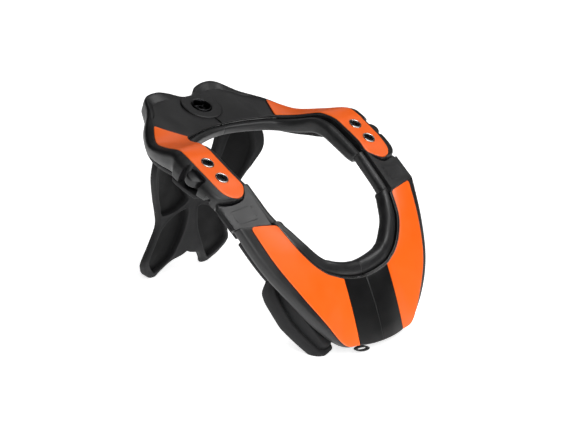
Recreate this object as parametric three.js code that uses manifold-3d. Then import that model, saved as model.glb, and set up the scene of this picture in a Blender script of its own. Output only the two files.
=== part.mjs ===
import * as THREE from 'three';
import { mergeVertices } from 'three/addons/utils/BufferGeometryUtils.js';
import Module from 'manifold-3d';

// Neck brace in millimetres, +Z up, front towards -Y, wearer's left towards +X.
// Every piece is drawn for the +X side and mirrored, unless it crosses the middle.

const GAP = 0.35; // air between neighbouring pieces
const SHIFT_Y = -15.0; // puts the middle of the whole brace on the origin
const TRIM_THICK = 1.8; // coloured strips and panels
const TRIM_EDGE = 1.2; // black border left beside the strips
const EYELET_HOLE_R = 6.6;
const EYELET_R = 6.2;
const EYELET_BORE_R = 4.9;
const EYELET_TALL = 2.2;
const SCREW_R = 4.5;
const HUB_R = 21.0;
const HUB_TALL = 1.6;
const HUB_BACK = 17.6; // the disc is cut straight this far behind its middle
const HUB_BORE_R = 10.4;
const HUB_SCREW_R = 9.9;
const BRIDGE_THICK = 8.0;
const BRIDGE_PAD_THICK = 6.0;
const PIN_R = 2.4;
const PIN_SLOT_R = 3.1;
const EYE_R = 5.0;
const BUTTON_LONG = 16.0;
const BUTTON_TALL = 8.0;
const BUTTON_DOWN = 7.0; // middle of the button below the top face
const BUTTON_BACK = -2.6; // foot of the button, from the edge of the top face
const BUTTON_SIDE = 4.0; // end of its straight sides
const BUTTON_OUT = 12.0; // tip of its round end
const NOTCH_LONG = 23.0;
const KNEE_OUT = 0.8; // the outer bevel turns down at this share of the rim
const KNEE_DOWN = 0.08; // and of the drop
const UNDER_PAD_THICK = 5.5;
const STAB_THICK = 8.0;
const POCKET_DEPTH = 3.0;

// The flat sliding plane shared by bridge top and arm cap: z = PLANE_Z + PLANE_SLOPE * (y - PLANE_Y).
const PLANE_Y = -20.0;
const PLANE_Z = 141.2;
const PLANE_SLOPE = 0.68;
const PIN_X = 113.0;
const PIN_Y = -20.0;
const STEP_Y = -14.2; // arm is full depth behind this line and only a cap in front of it
const TONGUE_BACK = 0.9; // tongue stops this far before the step

// Rear shell, seam to arm end. in = inner top edge, out = outer top edge (rim top on the lobe).
// sag = dish of the top face, rim/drop/tuck = outer bevel, deep = depth of the inner wall.
const REAR_KEYS = ['inX', 'inY', 'inZ', 'outX', 'outY', 'outZ', 'sag', 'rim', 'drop', 'tuck', 'deep'];
const REAR = [
  [0.2, 92.0, 166.0, 0.2, 138.0, 183.4, 0.0, 1.5, 17.0, 3.0, 11.0],
  [9.0, 91.8, 166.0, 9.0, 140.5, 184.4, 0.3, 1.5, 18.0, 3.0, 11.0],
  [19.0, 90.6, 166.0, 18.0, 149.0, 187.4, 0.8, 1.5, 24.0, 7.0, 11.0],
  [31.0, 87.8, 166.0, 32.0, 150.0, 190.6, 3.0, 1.5, 28.0, 9.0, 11.0],
  [43.0, 83.6, 166.0, 47.0, 148.0, 188.2, 2.8, 2.5, 27.0, 8.0, 11.0],
  [51.5, 80.6, 165.8, 59.5, 128.5, 179.6, 1.4, 5.0, 21.0, 3.0, 11.0],
  [58.2, 77.0, 165.7, 75.3, 108.3, 172.9, 0.4, 8.0, 15.0, 1.0, 11.0],
  [66.0, 66.5, 166.6, 87.0, 94.0, 167.0, 0.0, 8.5, 12.0, 1.0, 12.0],
  [71.5, 56.5, 168.4, 95.5, 80.5, 164.8, 0.0, 8.0, 11.0, 1.0, 14.0],
  [76.5, 47.0, 170.8, 105.5, 57.0, 168.6, 0.0, 8.5, 14.0, 1.0, 17.0],
  [80.2, 36.8, 172.6, 113.0, 32.5, 173.4, -0.6, 9.0, 19.0, 1.0, 19.0],
  [82.8, 22.0, 170.2, 114.6, 20.5, 170.4, -0.6, 9.5, 20.0, 1.0, 20.0],
  [83.6, 9.4, 164.4, 114.6, 9.0, 164.6, 0.0, 9.5, 19.0, 1.0, 19.0],
  [83.6, -9.4, 154.8, 114.2, -9.2, 155.0, 0.0, 9.5, 15.0, 1.0, 16.0],
  [82.2, -19.6, 148.2, 112.4, -22.0, 147.2, 0.0, 9.0, 11.0, 1.0, 11.0],
  [86.8, -26.4, 144.4, 107.6, -28.4, 143.2, 0.0, 7.5, 10.0, 1.0, 10.0],
  [93.0, -31.0, 141.6, 101.0, -31.4, 141.2, 0.0, 3.5, 9.0, 1.0, 9.0],
];
const TRIM_FROM = 6.02;
const TRIM_TO = 15.85;
const EYELET_ROWS = { rear: 12.0, front: 13.0 };
const BUTTON_ROW = 12.38;
const UNDER_FROM = 6.4;
const UNDER_TO = 12.9;

// Bib, shoulder end to the middle of the chest.
const BIB_KEYS = ['inX', 'inY', 'inZ', 'outX', 'outY', 'outZ', 'sag', 'rim', 'drop', 'tuck', 'deep'];
const BIB = [
  [76.5, -59.0, 118.6, 106.5, -54.6, 122.7, -1.0, 13.0, 11.0, 1.0, 10.0],
  [68.8, -76.0, 100.4, 97.0, -77.0, 92.4, -1.0, 11.5, 12.0, 1.0, 10.0],
  [57.2, -86.8, 84.6, 82.6, -97.6, 63.8, -1.0, 9.0, 12.0, 1.0, 10.0],
  [46.0, -92.6, 75.4, 65.6, -110.6, 38.6, -1.0, 7.5, 12.0, 1.0, 10.0],
  [37.4, -95.6, 71.6, 47.0, -119.1, 14.0, -1.0, 1.8, 8.0, 1.0, 10.0],
  [29.4, -98.0, 68.6, 29.6, -122.0, 9.9, -1.2, 0.6, 5.0, 0.6, 10.0],
  [14.0, -98.8, 64.8, 14.0, -124.2, 8.3, -1.6, 0.6, 5.0, 0.6, 10.0],
  [0.0, -98.8, 63.4, 0.0, -124.8, 7.9, -1.8, 0.6, 5.0, 0.6, 10.0],
];
const STRIPE_ROW = 5.0;

// Soft rolls beside the inner edges. wide = reach into the neck hollow, top/bottom = height band.
const ROLL_KEYS = ['row', 'wide', 'top', 'bottom'];
const ROLL_END = 13.98;
const REAR_ROLL = [
  [0.03, 7.0, -1.5, -11.0],
  [1.0, 7.5, -1.5, -11.0],
  [3.0, 8.5, -1.5, -11.5],
  [6.0, 9.5, -1.5, -13.0],
  [9.0, 10.5, -2.0, -17.0],
  [11.0, 12.0, -3.0, -19.0],
  [13.0, 12.5, -4.0, -18.0],
  [ROLL_END, 11.0, -3.0, -15.0],
];
// The roll beside the bridge: inner top edge and depths below it.
const BRIDGE_ROLL_KEYS = ['x', 'y', 'z', 'wide', 'top', 'bottom'];
const BRIDGE_ROLL = [
  [81.4, -19.9, 148.0, 9.0, 0.0, -12.0],
  [81.2, -33.0, 137.6, 9.5, 0.0, -12.0],
  [80.4, -46.0, 127.2, 9.5, 0.0, -12.0],
  [78.6, -57.6, 118.4, 10.0, 0.4, -12.0],
];
// Rise of the bridge's face above the sliding plane, beside the roll and along the outer edge.
const RISE_KEYS = ['y', 'inner', 'outer'];
const RISE = [
  [-20.0, 9.2, 3.4],
  [-48.0, 5.0, 0.4],
  [-70.0, 1.7, 0.4],
];
const FACE_IN_X = 81.6;
const FACE_OUT_X = 121.6;
const FRONT_ROLL = [
  [0.02, 12.0, 0.0, -14.0],
  [1.0, 15.5, 0.0, -16.0],
  [2.0, 18.0, -0.5, -18.0],
  [3.5, 18.5, -0.5, -18.0],
  [5.0, 18.0, -0.5, -18.0],
  [6.985, 17.5, -0.5, -18.0],
];

// Back stabiliser by height: mid = y in the middle, bow = curl forward at the sides,
// outer/inner = side edges of the +X half (inner below zero where the halves meet).
const STAB_KEYS = ['z', 'mid', 'bow', 'outer', 'inner'];
const STAB = [
  [166.0, 128.0, 0.0052, 63.0, 31.0],
  [152.0, 128.0, 0.0052, 66.0, 30.0],
  [138.0, 128.0, 0.0047, 72.0, 28.0],
  [123.0, 128.0, 0.0042, 73.0, 24.0],
  [106.0, 128.0, 0.0035, 66.0, 15.0],
  [98.0, 128.4, 0.0031, 61.5, 6.0],
  [94.0, 128.6, 0.0029, 59.6, -1.0],
  [78.0, 129.4, 0.0019, 51.4, -1.0],
  [62.0, 130.6, 0.001, 46.5, -1.0],
  [44.0, 133.0, 0.0003, 50.5, -1.0],
  [26.0, 135.6, 0.0, 57.0, -1.0],
  [20.5, 137.4, -0.0002, 57.0, 5.0],
  [17.5, 138.8, -0.0002, 56.0, 16.5],
  [8.0, 144.0, -0.0002, 49.5, 27.0],
  [2.0, 147.2, -0.0002, 41.5, 31.0],
  [0.0, 148.2, -0.0002, 38.5, 32.0],
];
const POCKETS = [
  [[58, 147], [64, 124], [57, 98], [50, 85], [44, 73], [24, 73.5], [8, 82], [20, 98], [31, 116], [43, 147]],
  [[8, 71], [27, 67], [41, 57], [46.5, 42], [52, 27], [48, 17], [37, 7], [28, 15], [21, 24], [10, 48]],
];

const wasm = await Module();
wasm.setup();
const brace = new THREE.Group();
brace.name = 'neck_brace';

const vec = (x, y, z) => new THREE.Vector3(x, y, z);
const UP_PLANE = vec(0, -PLANE_SLOPE, 1).normalize();
const ALONG_PLANE = vec(0, -1, -PLANE_SLOPE).normalize();
const onPlane = (x, y) => vec(x, y, PLANE_Z + PLANE_SLOPE * (y - PLANE_Y));

// Smooth value of every column of a table at a fractional row.
function sample(table, keys, u) {
  const last = table.length - 1;
  const i = Math.min(Math.max(Math.floor(u), 0), last - 1);
  const t = u - i;
  const row = (k) => table[Math.min(Math.max(k, 0), last)];
  const out = {};
  keys.forEach((key, c) => {
    const [a, b, d, e] = [row(i - 1)[c], row(i)[c], row(i + 1)[c], row(i + 2)[c]];
    const m0 = (d - a) / 2;
    const m1 = (e - b) / 2;
    const t2 = t * t;
    const t3 = t2 * t;
    out[key] = (2 * t3 - 3 * t2 + 1) * b + (t3 - 2 * t2 + t) * m0 + (3 * t2 - 2 * t3) * d + (t3 - t2) * m1;
  });
  return out;
}

// Straight-line value of a table against its first column.
function lookUp(table, keys, x) {
  const rising = table[0][0] < table[table.length - 1][0];
  let i = 0;
  while (i < table.length - 2 && (rising ? x > table[i + 1][0] : x < table[i + 1][0])) i += 1;
  const t = (x - table[i][0]) / (table[i + 1][0] - table[i][0]);
  const out = {};
  keys.forEach((key, c) => {
    out[key] = table[i][c] + t * (table[i + 1][c] - table[i][c]);
  });
  return out;
}

// Local frame of a strip: across runs from the inner to the outer edge, normal stands on the top face.
function station(table, keys, u) {
  const s = sample(table, keys, u);
  const inner = vec(s.inX, s.inY, s.inZ);
  const outer = vec(s.outX, s.outY, s.outZ);
  const ends = [u - 0.05, u + 0.05].map((v) => {
    const e = sample(table, keys, Math.min(Math.max(v, 0), table.length - 1));
    return vec((e.inX + e.outX) / 2, (e.inY + e.outY) / 2, (e.inZ + e.outZ) / 2);
  });
  const across = outer.clone().sub(inner);
  const width = across.length();
  across.normalize();
  const along = ends[1].sub(ends[0]).normalize();
  const normal = across.clone().cross(along).normalize();
  if (normal.z < 0) normal.negate();
  return { ...s, inner, across, along, normal, width };
}

const mirrorStation = (s) => {
  const flip = (v) => vec(-v.x, v.y, v.z);
  return { ...s, inner: flip(s.inner), across: flip(s.across), normal: flip(s.normal) };
};
const place = (s, [a, h]) => s.inner.clone().addScaledVector(s.across, a).addScaledVector(s.normal, h);
const topAt = (s, t) => -s.sag * 4 * t * (1 - t);

// Closed solid through a list of rings with equal point counts; flat[] holds the caps in 2-D.
function loft(rings, flatFirst, flatLast) {
  const n = rings[0].length;
  const points = rings.flat();
  const index = [];
  for (let r = 0; r + 1 < rings.length; r += 1) {
    for (let k = 0; k < n; k += 1) {
      const a = r * n + k;
      const b = r * n + ((k + 1) % n);
      index.push(a, b, a + n, b, b + n, a + n);
    }
  }
  const cap = (flat, base, backwards) => {
    const ring = flat.map(([x, y]) => new THREE.Vector2(x, y));
    const ringSign = Math.sign(THREE.ShapeUtils.area(ring));
    THREE.ShapeUtils.triangulateShape(ring, []).forEach(([a, b, c]) => {
      const sign = Math.sign(THREE.ShapeUtils.area([ring[a], ring[b], ring[c]]));
      const face = (sign === ringSign) === backwards ? [a, c, b] : [a, b, c];
      index.push(...face.map((k) => base + k));
    });
  };
  cap(flatFirst, 0, true);
  cap(flatLast, (rings.length - 1) * n, false);
  return facingOut(points, index);
}

function facingOut(points, index) {
  let volume = 0;
  for (let i = 0; i < index.length; i += 3) {
    const [a, b, c] = [points[index[i]], points[index[i + 1]], points[index[i + 2]]];
    volume += a.dot(b.clone().cross(c));
  }
  if (volume < 0) {
    for (let i = 0; i < index.length; i += 3) {
      [index[i + 1], index[i + 2]] = [index[i + 2], index[i + 1]];
    }
  }
  const g = new THREE.BufferGeometry();
  g.setAttribute('position', new THREE.Float32BufferAttribute(points.flatMap((p) => [p.x, p.y, p.z]), 3));
  g.setIndex(index);
  return g;
}

function mirrored(geometry) {
  const g = geometry.clone().applyMatrix4(new THREE.Matrix4().makeScale(-1, 1, 1));
  const index = g.index.array;
  for (let i = 0; i < index.length; i += 3) {
    [index[i + 1], index[i + 2]] = [index[i + 2], index[i + 1]];
  }
  return g;
}

function solid(geometry) {
  const bare = new THREE.BufferGeometry();
  bare.setAttribute('position', geometry.getAttribute('position'));
  if (geometry.index) bare.setIndex(geometry.index);
  const merged = mergeVertices(bare, 1e-4);
  return new wasm.Manifold(new wasm.Mesh({
    numProp: 3,
    vertProperties: new Float32Array(merged.attributes.position.array),
    triVerts: new Uint32Array(merged.index.array),
  }));
}

function geometryOf(manifold) {
  const mesh = manifold.getMesh();
  const g = new THREE.BufferGeometry();
  g.setAttribute('position', new THREE.Float32BufferAttribute(mesh.vertProperties, 3));
  g.setIndex(Array.from(mesh.triVerts));
  return g;
}

const cut = (geometry, tools) => {
  const made = tools.reduce((body, tool) => body.subtract(solid(tool)), solid(geometry));
  return geometryOf(made);
};
const joined = (a, b) => geometryOf(solid(a).add(solid(b)));

// A box or round stood on a point with its own axes.
function framed(geometry, at, x, y, z) {
  return geometry.applyMatrix4(new THREE.Matrix4().makeBasis(x, y, z).setPosition(at));
}

// A turned piece about +Z from [radius, height] points, with the given number of sides.
function turned(profile, sides) {
  const closed = [...profile, profile[0]].map(([r, h]) => new THREE.Vector2(r, h));
  const g = new THREE.LatheGeometry(closed, sides);
  g.applyMatrix4(new THREE.Matrix4().makeRotationX(Math.PI / 2));
  const bare = new THREE.BufferGeometry();
  bare.setAttribute('position', g.getAttribute('position'));
  bare.setIndex(g.index);
  const merged = mergeVertices(bare, 1e-4);
  const keep = [];
  const index = merged.index.array;
  for (let i = 0; i < index.length; i += 3) {
    const [a, b, c] = [index[i], index[i + 1], index[i + 2]];
    if (a !== b && b !== c && a !== c) keep.push(a, b, c);
  }
  const p = merged.getAttribute('position');
  const points = Array.from({ length: p.count }, (_, i) => vec(p.getX(i), p.getY(i), p.getZ(i)));
  return facingOut(points, keep);
}

function material(colour, rough, metal = 0) {
  return { color: colour, roughness: rough, metalness: metal };
}
const BLACK_SHELL = material(0x2b2b2d, 0.5);
const ORANGE_PANEL = material(0xff6a1e, 0.45);
const BLACK_PAD = material(0x1b1b1c, 0.9);
const BLACK_FOAM = material(0x161617, 0.95);
const STEEL = material(0xc8c8c8, 0.25, 1);
const BLACK_SCREW = material(0x111111, 0.4, 0.6);

function add(name, geometry, kind) {
  const mesh = new THREE.Mesh(geometry, new THREE.MeshStandardMaterial(kind));
  mesh.material.name = name;
  mesh.name = name;
  mesh.position.set(0, SHIFT_Y, 0);
  brace.add(mesh);
}

function addPair(name, geometry, kind) {
  add(`${name}_left`, geometry, kind);
  add(`${name}_right`, mirrored(geometry), kind);
}

const steps = (from, to, count) => Array.from({ length: count }, (_, i) => from + ((to - from) * i) / (count - 1));

// Shell section: dished top, rounded inner edge, bevelled outer rim, flat underside.
function shellSection(s) {
  const top = [0.12, 0.3, 0.5, 0.7, 0.88].map((t) => [s.width * t, topAt(s, t)]);
  return [
    [0, -1.8],
    [Math.min(1.6, s.width * 0.06), topAt(s, 0.05) - 0.2],
    ...top,
    [s.width, 0],
    [s.width + KNEE_OUT * s.rim, -KNEE_DOWN * s.drop],
    [s.width + s.rim, -0.55 * s.drop],
    [s.width + s.rim - s.tuck, -s.drop],
    [s.width * 0.6, -(s.deep + s.drop) / 2],
    [0, -s.deep],
  ];
}

// Thin strip lying on the top face between two widths.
function stripSection(s, edge, spots = [0, 0.5, 1]) {
  const last = spots.length - 1;
  const across = (t) => edge + (s.width - 2 * edge) * t;
  const height = (a) => topAt(s, a / s.width) + GAP;
  const low = spots.map((t) => [across(t), height(across(t))]);
  const high = spots.map((t) => [across(t), height(across(t)) + TRIM_THICK]);
  high[0] = [high[0][0] + 0.5, high[0][1]];
  high[last] = [high[last][0] - 0.5, high[last][1]];
  return [...low, ...high.reverse()];
}

function alongTable(table, keys, rows, section) {
  const stations = rows.map((u) => station(table, keys, u));
  const flats = stations.map(section);
  const rings = stations.map((s, i) => flats[i].map((p) => place(s, p)));
  return loft(rings, flats[0], flats[flats.length - 1]);
}

// Soft roll with rounded ends through a list of stations that carry wide, top and bottom.
function rollThrough(stations) {
  const last = stations.length - 1;
  const power = (v) => Math.sign(v) * Math.abs(v) ** 0.72;
  const flats = stations.map((s, i) => {
    const end = i === 0 || i === last ? 0.78 : 1;
    const midH = (s.top + s.bottom) / 2;
    const midA = -GAP - s.wide / 2;
    return steps(0, 11, 12).map((k) => {
      const angle = (k / 12) * Math.PI * 2;
      const a = midA + (power(Math.cos(angle)) * end * s.wide) / 2;
      const h = midH + (power(Math.sin(angle)) * end * (s.top - s.bottom)) / 2;
      return [a, h];
    });
  });
  const rings = stations.map((s, i) => flats[i].map((p) => place(s, p)));
  return loft(rings, flats[0], flats[last]);
}

function roll(table, keys, rollTable, from, to, count) {
  return rollThrough(steps(from, to, count).map((u) => (
    { ...station(table, keys, u), ...lookUp(rollTable, ROLL_KEYS, u) })));
}

function bridgeRoll() {
  return rollThrough([0, 0.15, 0.6, 1, 1.5, 2, 2.5, 2.85, 3].map((u) => {
    const s = sample(BRIDGE_ROLL, BRIDGE_ROLL_KEYS, u);
    return { ...s, inner: vec(s.x, s.y, s.z), across: vec(1, 0, 0), normal: UP_PLANE };
  }));
}

// Flat plate on the sliding plane from an outline of [x, y] points, between two depths below it.
function planePlate(outline, from, to) {
  const rings = [from, to].map((d) => outline.map(([x, y]) => onPlane(x, y).addScaledVector(UP_PLANE, -d)));
  return loft(rings, outline, outline);
}

function roundOn(at, radius, from, to, sides) {
  const g = turned([[0, from], [radius, from], [radius, to], [0, to]], sides);
  return framed(g, at, vec(1, 0, 0), UP_PLANE.clone().cross(vec(1, 0, 0)), UP_PLANE);
}

// Rear shell: strip, slot for the tongue under the arm cap, hinge pin, notch and pocket for the button.
function rearShell() {
  const rows = [0, 0.6, 1, 1.5, 2, 2.5, 3, 3.5, 4, 4.5, 5, 5.5, 6, 6.5, 7, 7.5, 8, 8.5, 9, 9.5, 10, 10.5,
    11, 11.5, 12, 12.5, 13, 13.5, 14, 14.5, 15, 15.5, 16];
  const body = alongTable(REAR, REAR_KEYS, rows, shellSection);
  const slotLong = 60;
  const slotDeep = 60;
  const middle = onPlane(100, STEP_Y).addScaledVector(ALONG_PLANE, slotLong / 2);
  middle.addScaledVector(UP_PLANE, GAP - slotDeep / 2);
  const slot = framed(new THREE.BoxGeometry(90, slotLong, slotDeep), middle,
    vec(1, 0, 0), ALONG_PLANE.clone().negate(), UP_PLANE);
  const s = station(REAR, REAR_KEYS, BUTTON_ROW);
  const notchAt = place(s, [s.width + 0.9 + 15, -10]);
  const notch = framed(new THREE.BoxGeometry(30, NOTCH_LONG, 40), notchAt, s.across,
    s.normal.clone().cross(s.across), s.normal);
  const pocketAt = place(s, [s.width - 1, -BUTTON_DOWN]);
  const pocket = framed(new THREE.BoxGeometry(8, BUTTON_LONG + 2, BUTTON_TALL + 2), pocketAt, s.across,
    s.normal.clone().cross(s.across), s.normal);
  const pin = roundOn(onPlane(PIN_X, PIN_Y), PIN_R, -BRIDGE_THICK + 1, 2.5, 14);
  return joined(cut(body, [slot, notch, pocket]), pin);
}

// Button with straight sides in its pocket and a round end for the thumb.
function releaseButton() {
  const s = station(REAR, REAR_KEYS, BUTTON_ROW);
  const along = s.normal.clone().cross(s.across);
  const half = BUTTON_LONG / 2;
  const tip = BUTTON_OUT - BUTTON_SIDE;
  const round = steps(0, Math.PI, 8).map((t) => [half * Math.cos(t), BUTTON_SIDE + tip * Math.sin(t)]);
  const outline = [[half, BUTTON_BACK], ...round, [-half, BUTTON_BACK]];
  const levels = [[0.5, 0.92], [0.38, 1], [-0.38, 1], [-0.5, 0.92]];
  const rings = levels.map(([up, size]) => outline.map(([l, a]) => {
    const p = place(s, [s.width + a * size, up * BUTTON_TALL - BUTTON_DOWN]);
    return p.addScaledVector(along, l * size);
  }));
  return loft(rings, outline, outline);
}

// Bridge plate with a tongue whose outer corner hooks round the hinge pin.
function bridgeOutline(grow) {
  const back = STEP_Y - TONGUE_BACK;
  const eye = steps(Math.PI * 0.5, -Math.PI * 0.2, 7).map((angle) => {
    const r = EYE_R + grow;
    return [PIN_X + r * Math.cos(angle), PIN_Y + r * Math.sin(angle) * 0.98];
  });
  return [
    [84.5, back],
    [PIN_X - 3, back],
    ...eye,
    [FACE_OUT_X, -27.5],
    [FACE_OUT_X, -70.0],
    [FACE_IN_X, -70.0],
    [FACE_IN_X, -26.0],
  ];
}

// The raised face of the bridge: it fills the room in front of the arm cap and falls towards the bib.
function bridgeFace() {
  const outline = [
    [FACE_IN_X, -21.4],
    [82.8, -22.0],
    [86.2, -27.2],
    [92.6, -31.9],
    [104.8, -32.4],
    [115.8, -29.7],
    [FACE_OUT_X, -27.5],
    [FACE_OUT_X, -70.0],
    [FACE_IN_X, -70.0],
  ];
  const low = outline.map(([x, y]) => onPlane(x, y).addScaledVector(UP_PLANE, -1));
  const high = outline.map(([x, y]) => {
    const rise = lookUp(RISE, RISE_KEYS, y);
    const inwards = (FACE_OUT_X - x) / (FACE_OUT_X - FACE_IN_X);
    return onPlane(x, y).add(vec(0, 0, rise.outer + (rise.inner - rise.outer) * inwards));
  });
  return loft([low, high], outline, outline);
}

// Everything in front of the bib's shoulder end, less a small gap, or from some way further on.
function bibSide(further = 0) {
  const s = station(BIB, BIB_KEYS, 0);
  const face = s.across.clone().cross(s.normal).normalize();
  if (face.dot(s.along) < 0) face.negate();
  const at = place(s, [s.width / 2, 0]).addScaledVector(face, 60 - GAP - 0.1 + further);
  return framed(new THREE.BoxGeometry(200, 200, 120), at, s.across, face.clone().cross(s.across), face);
}

function bridge() {
  const plate = joined(planePlate(bridgeOutline(0), 0, BRIDGE_THICK), bridgeFace());
  const at = onPlane(PIN_X, PIN_Y);
  const hole = roundOn(at, PIN_SLOT_R, -20, 5, 16);
  const way = at.clone().addScaledVector(ALONG_PLANE, -10);
  const mouth = framed(new THREE.BoxGeometry(PIN_SLOT_R * 2, 20, 50), way, vec(1, 0, 0),
    ALONG_PLANE.clone().negate(), UP_PLANE);
  return cut(plate, [hole, mouth, bibSide()]);
}

function bibRows() {
  const half = [0, 0.5, 1, 1.5, 2, 2.5, 3, 3.5, 4, 4.5, 5, 5.5, 6, 6.5];
  const right = half.map((u) => station(BIB, BIB_KEYS, u));
  const centre = { ...station(BIB, BIB_KEYS, 7) };
  centre.across = vec(0, centre.across.y, centre.across.z).normalize();
  centre.normal = vec(1, 0, 0).cross(centre.across).normalize();
  if (centre.normal.z < 0) centre.normal.negate();
  return [...right, centre, ...right.slice().reverse().map(mirrorStation)];
}

function bibShell() {
  const stations = bibRows();
  const flats = stations.map(shellSection);
  const rings = stations.map((s, i) => flats[i].map((p) => place(s, p)));
  return loft(rings, flats[0], flats[flats.length - 1]);
}

function bibStripe() {
  const all = bibRows();
  const from = 10;
  const stations = all.slice(from, all.length - from);
  const flats = stations.map((s) => stripSection(s, TRIM_EDGE, [0, 0.25, 0.5, 0.75, 1]));
  const rings = stations.map((s, i) => flats[i].map((p) => place(s, p)));
  return loft(rings, flats[0], flats[flats.length - 1]);
}

// Chest pad: thick foam behind the lower bib, its lip standing out past the rim.
const CHEST_KEYS = ['row', 'from', 'to', 'front', 'lip', 'back'];
const CHEST = [
  [1.34, -14, -3, -11.8, -20, -38],
  [1.5, -16, 3, -11.7, -23.5, -47.5],
  [1.75, -18, 6.5, -11.7, -25.5, -48],
  [2.0, -20, 9, -11.6, -26, -46.5],
  [2.5, -22, 12.5, -11.6, -27, -46.5],
  [3.0, -24, 15, -11.6, -25, -43],
  [3.5, -26, 17, -10.9, -20, -36.5],
  [3.75, -26, 12.5, -10.4, -17, -31],
  [3.9, -24, 5, -10.4, -14, -25],
];

function chestPad() {
  const rows = steps(CHEST[0][0], CHEST[CHEST.length - 1][0], 9);
  const stations = rows.map((u) => ({ ...station(BIB, BIB_KEYS, u), ...lookUp(CHEST, CHEST_KEYS, u) }));
  const flats = stations.map((s) => {
    const [a0, a1] = [s.width + s.from, s.width + s.to];
    const deep = s.lip - s.back;
    return [
      [a0, s.front - 1.5],
      [a0 + 2, s.front],
      [a1 - 8, s.front - 3],
      [a1 - 6, s.lip],
      [a1 - 2, s.lip],
      [a1, s.lip - deep * 0.3],
      [a1 - 1, s.back + deep * 0.25],
      [a1 - 5, s.back],
      [a0 + 4, s.back],
      [a0, s.back + 3],
    ];
  });
  const rings = stations.map((s, i) => flats[i].map((p) => {
    const q = place(s, p);
    q.z = Math.max(q.z, 0);
    return q;
  }));
  return loft(rings, flats[0], flats[flats.length - 1]);
}

function underStrip(table, keys, from, to, count, inset) {
  return alongTable(table, keys, steps(from, to, count), (s) => {
    const outer = s.width + s.rim - s.tuck - 1;
    const base = (a) => -s.deep + ((a / (s.width + s.rim - s.tuck)) * (s.deep - s.drop)) - GAP - 0.5;
    const a0 = inset;
    const low = UNDER_PAD_THICK;
    return [
      [a0, base(a0)],
      [outer, base(outer)],
      [outer - 1, base(outer) - low * 0.7],
      [outer - 4, base(outer) - low],
      [a0 + 3, base(a0) - low],
      [a0, base(a0) - low * 0.6],
    ];
  });
}

// X-shaped back plate over height and width; its front face is stabFace.
function stabFace(x, z) {
  const s = lookUp(STAB, STAB_KEYS, z);
  return s.mid - s.bow * x * x;
}

function stabHalf() {
  const heights = [166, 152, 145, 138, 130, 123, 114, 106, 98, 94, 86, 78, 62, 44, 26, 21.5, 17, 8, 2, 0];
  const across = [0, 0.08, 0.36, 0.64, 0.92, 1];
  const rings = heights.map((z) => {
    const s = lookUp(STAB, STAB_KEYS, z);
    const spots = across.map((t) => s.inner + (s.outer - s.inner) * t);
    const edge = (k) => (k === 0 || k === across.length - 1 ? 1.6 : 0);
    const front = spots.map((x, k) => vec(x, stabFace(x, z) + edge(k), z));
    const back = spots.map((x, k) => vec(x, stabFace(x, z) + STAB_THICK - edge(k), z));
    return [...front, ...back.reverse()];
  });
  const flat = (ring) => ring.map((p) => [p.x, p.y]);
  return loft(rings, flat(rings[0]), flat(rings[rings.length - 1]));
}

// Tool that presses one pocket into the front face: wide mouth, smaller floor.
function pocketTool(polygon) {
  const curve = new THREE.CatmullRomCurve3(polygon.map(([x, z]) => vec(x, 0, z)), true, 'catmullrom', 0.35);
  const outline = curve.getPoints(20).slice(0, 20);
  const centre = outline.reduce((sum, p) => sum.add(p), vec(0, 0, 0)).divideScalar(outline.length);
  const levels = [[1.06, -3], [1.0, 0], [0.9, POCKET_DEPTH]];
  const rings = levels.map(([size, deep]) => outline.map((p) => {
    const x = centre.x + (p.x - centre.x) * size;
    const z = centre.z + (p.z - centre.z) * size;
    return vec(x, stabFace(x, z) + deep, z);
  }));
  const flat = outline.map((p) => [p.x, p.z]);
  return loft(rings, flat, flat);
}

// The rear plate grown by the gap, so that the back plate ends just under it.
function underRearShell() {
  const grow = GAP + 0.1;
  return alongTable(REAR, REAR_KEYS, steps(0, 9, 19), (s) => shellSection(
    { ...s, rim: s.rim + grow, drop: s.drop + grow, deep: s.deep + grow }));
}

function rearStabiliser() {
  const half = cut(stabHalf(), [...POCKETS.map(pocketTool), underRearShell()]);
  return joined(half, mirrored(half));
}

// Hub frame on the rear plate.
function hubFrame() {
  const s = sample(REAR, REAR_KEYS, 0);
  const inner = vec(0, s.inY, s.inZ);
  const across = vec(0, s.outY - s.inY, s.outZ - s.inZ).normalize();
  const normal = vec(1, 0, 0).cross(across).normalize();
  const at = inner.clone().addScaledVector(across, 30.6).addScaledVector(normal, GAP);
  return { at, across, normal };
}

function onHub(profile, sides) {
  const f = hubFrame();
  return framed(turned(profile, sides), f.at, vec(1, 0, 0), f.across, f.normal);
}

// Low disc round the hub screw, straight behind where the plate ends.
function hubDisc() {
  const f = hubFrame();
  const round = onHub([[HUB_BORE_R, 0], [HUB_R, 0], [HUB_R, HUB_TALL - 0.6], [HUB_R - 0.6, HUB_TALL],
    [HUB_BORE_R, HUB_TALL]], 24);
  const behind = f.at.clone().addScaledVector(f.across, HUB_BACK + HUB_R);
  const beyond = framed(new THREE.BoxGeometry(4 * HUB_R, 2 * HUB_R, 4 * HUB_R), behind, vec(1, 0, 0),
    f.across, f.normal);
  return cut(round, [beyond]);
}

function eyeletFrame(row) {
  const s = station(REAR, REAR_KEYS, row);
  return { at: place(s, [s.width / 2, topAt(s, 0.5) + GAP]), s };
}

function onEyelet(row, profile, sides) {
  const { at, s } = eyeletFrame(row);
  return framed(turned(profile, sides), at, s.across, s.normal.clone().cross(s.across), s.normal);
}

function armTrim() {
  const rows = [TRIM_FROM, 6.5, 7, 7.5, 8, 8.5, 9, 9.5, 10, 10.5, 11, 11.5, 12, 12.5, 13, 13.5, 14, 14.5, 15,
    15.45, TRIM_TO];
  const strip = alongTable(REAR, REAR_KEYS, rows, (s) => stripSection(s, TRIM_EDGE));
  const holes = Object.values(EYELET_ROWS).map((row) => onEyelet(row, [[0, -6], [EYELET_HOLE_R, -6],
    [EYELET_HOLE_R, 8], [0, 8]], 20));
  return cut(strip, holes);
}

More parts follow.
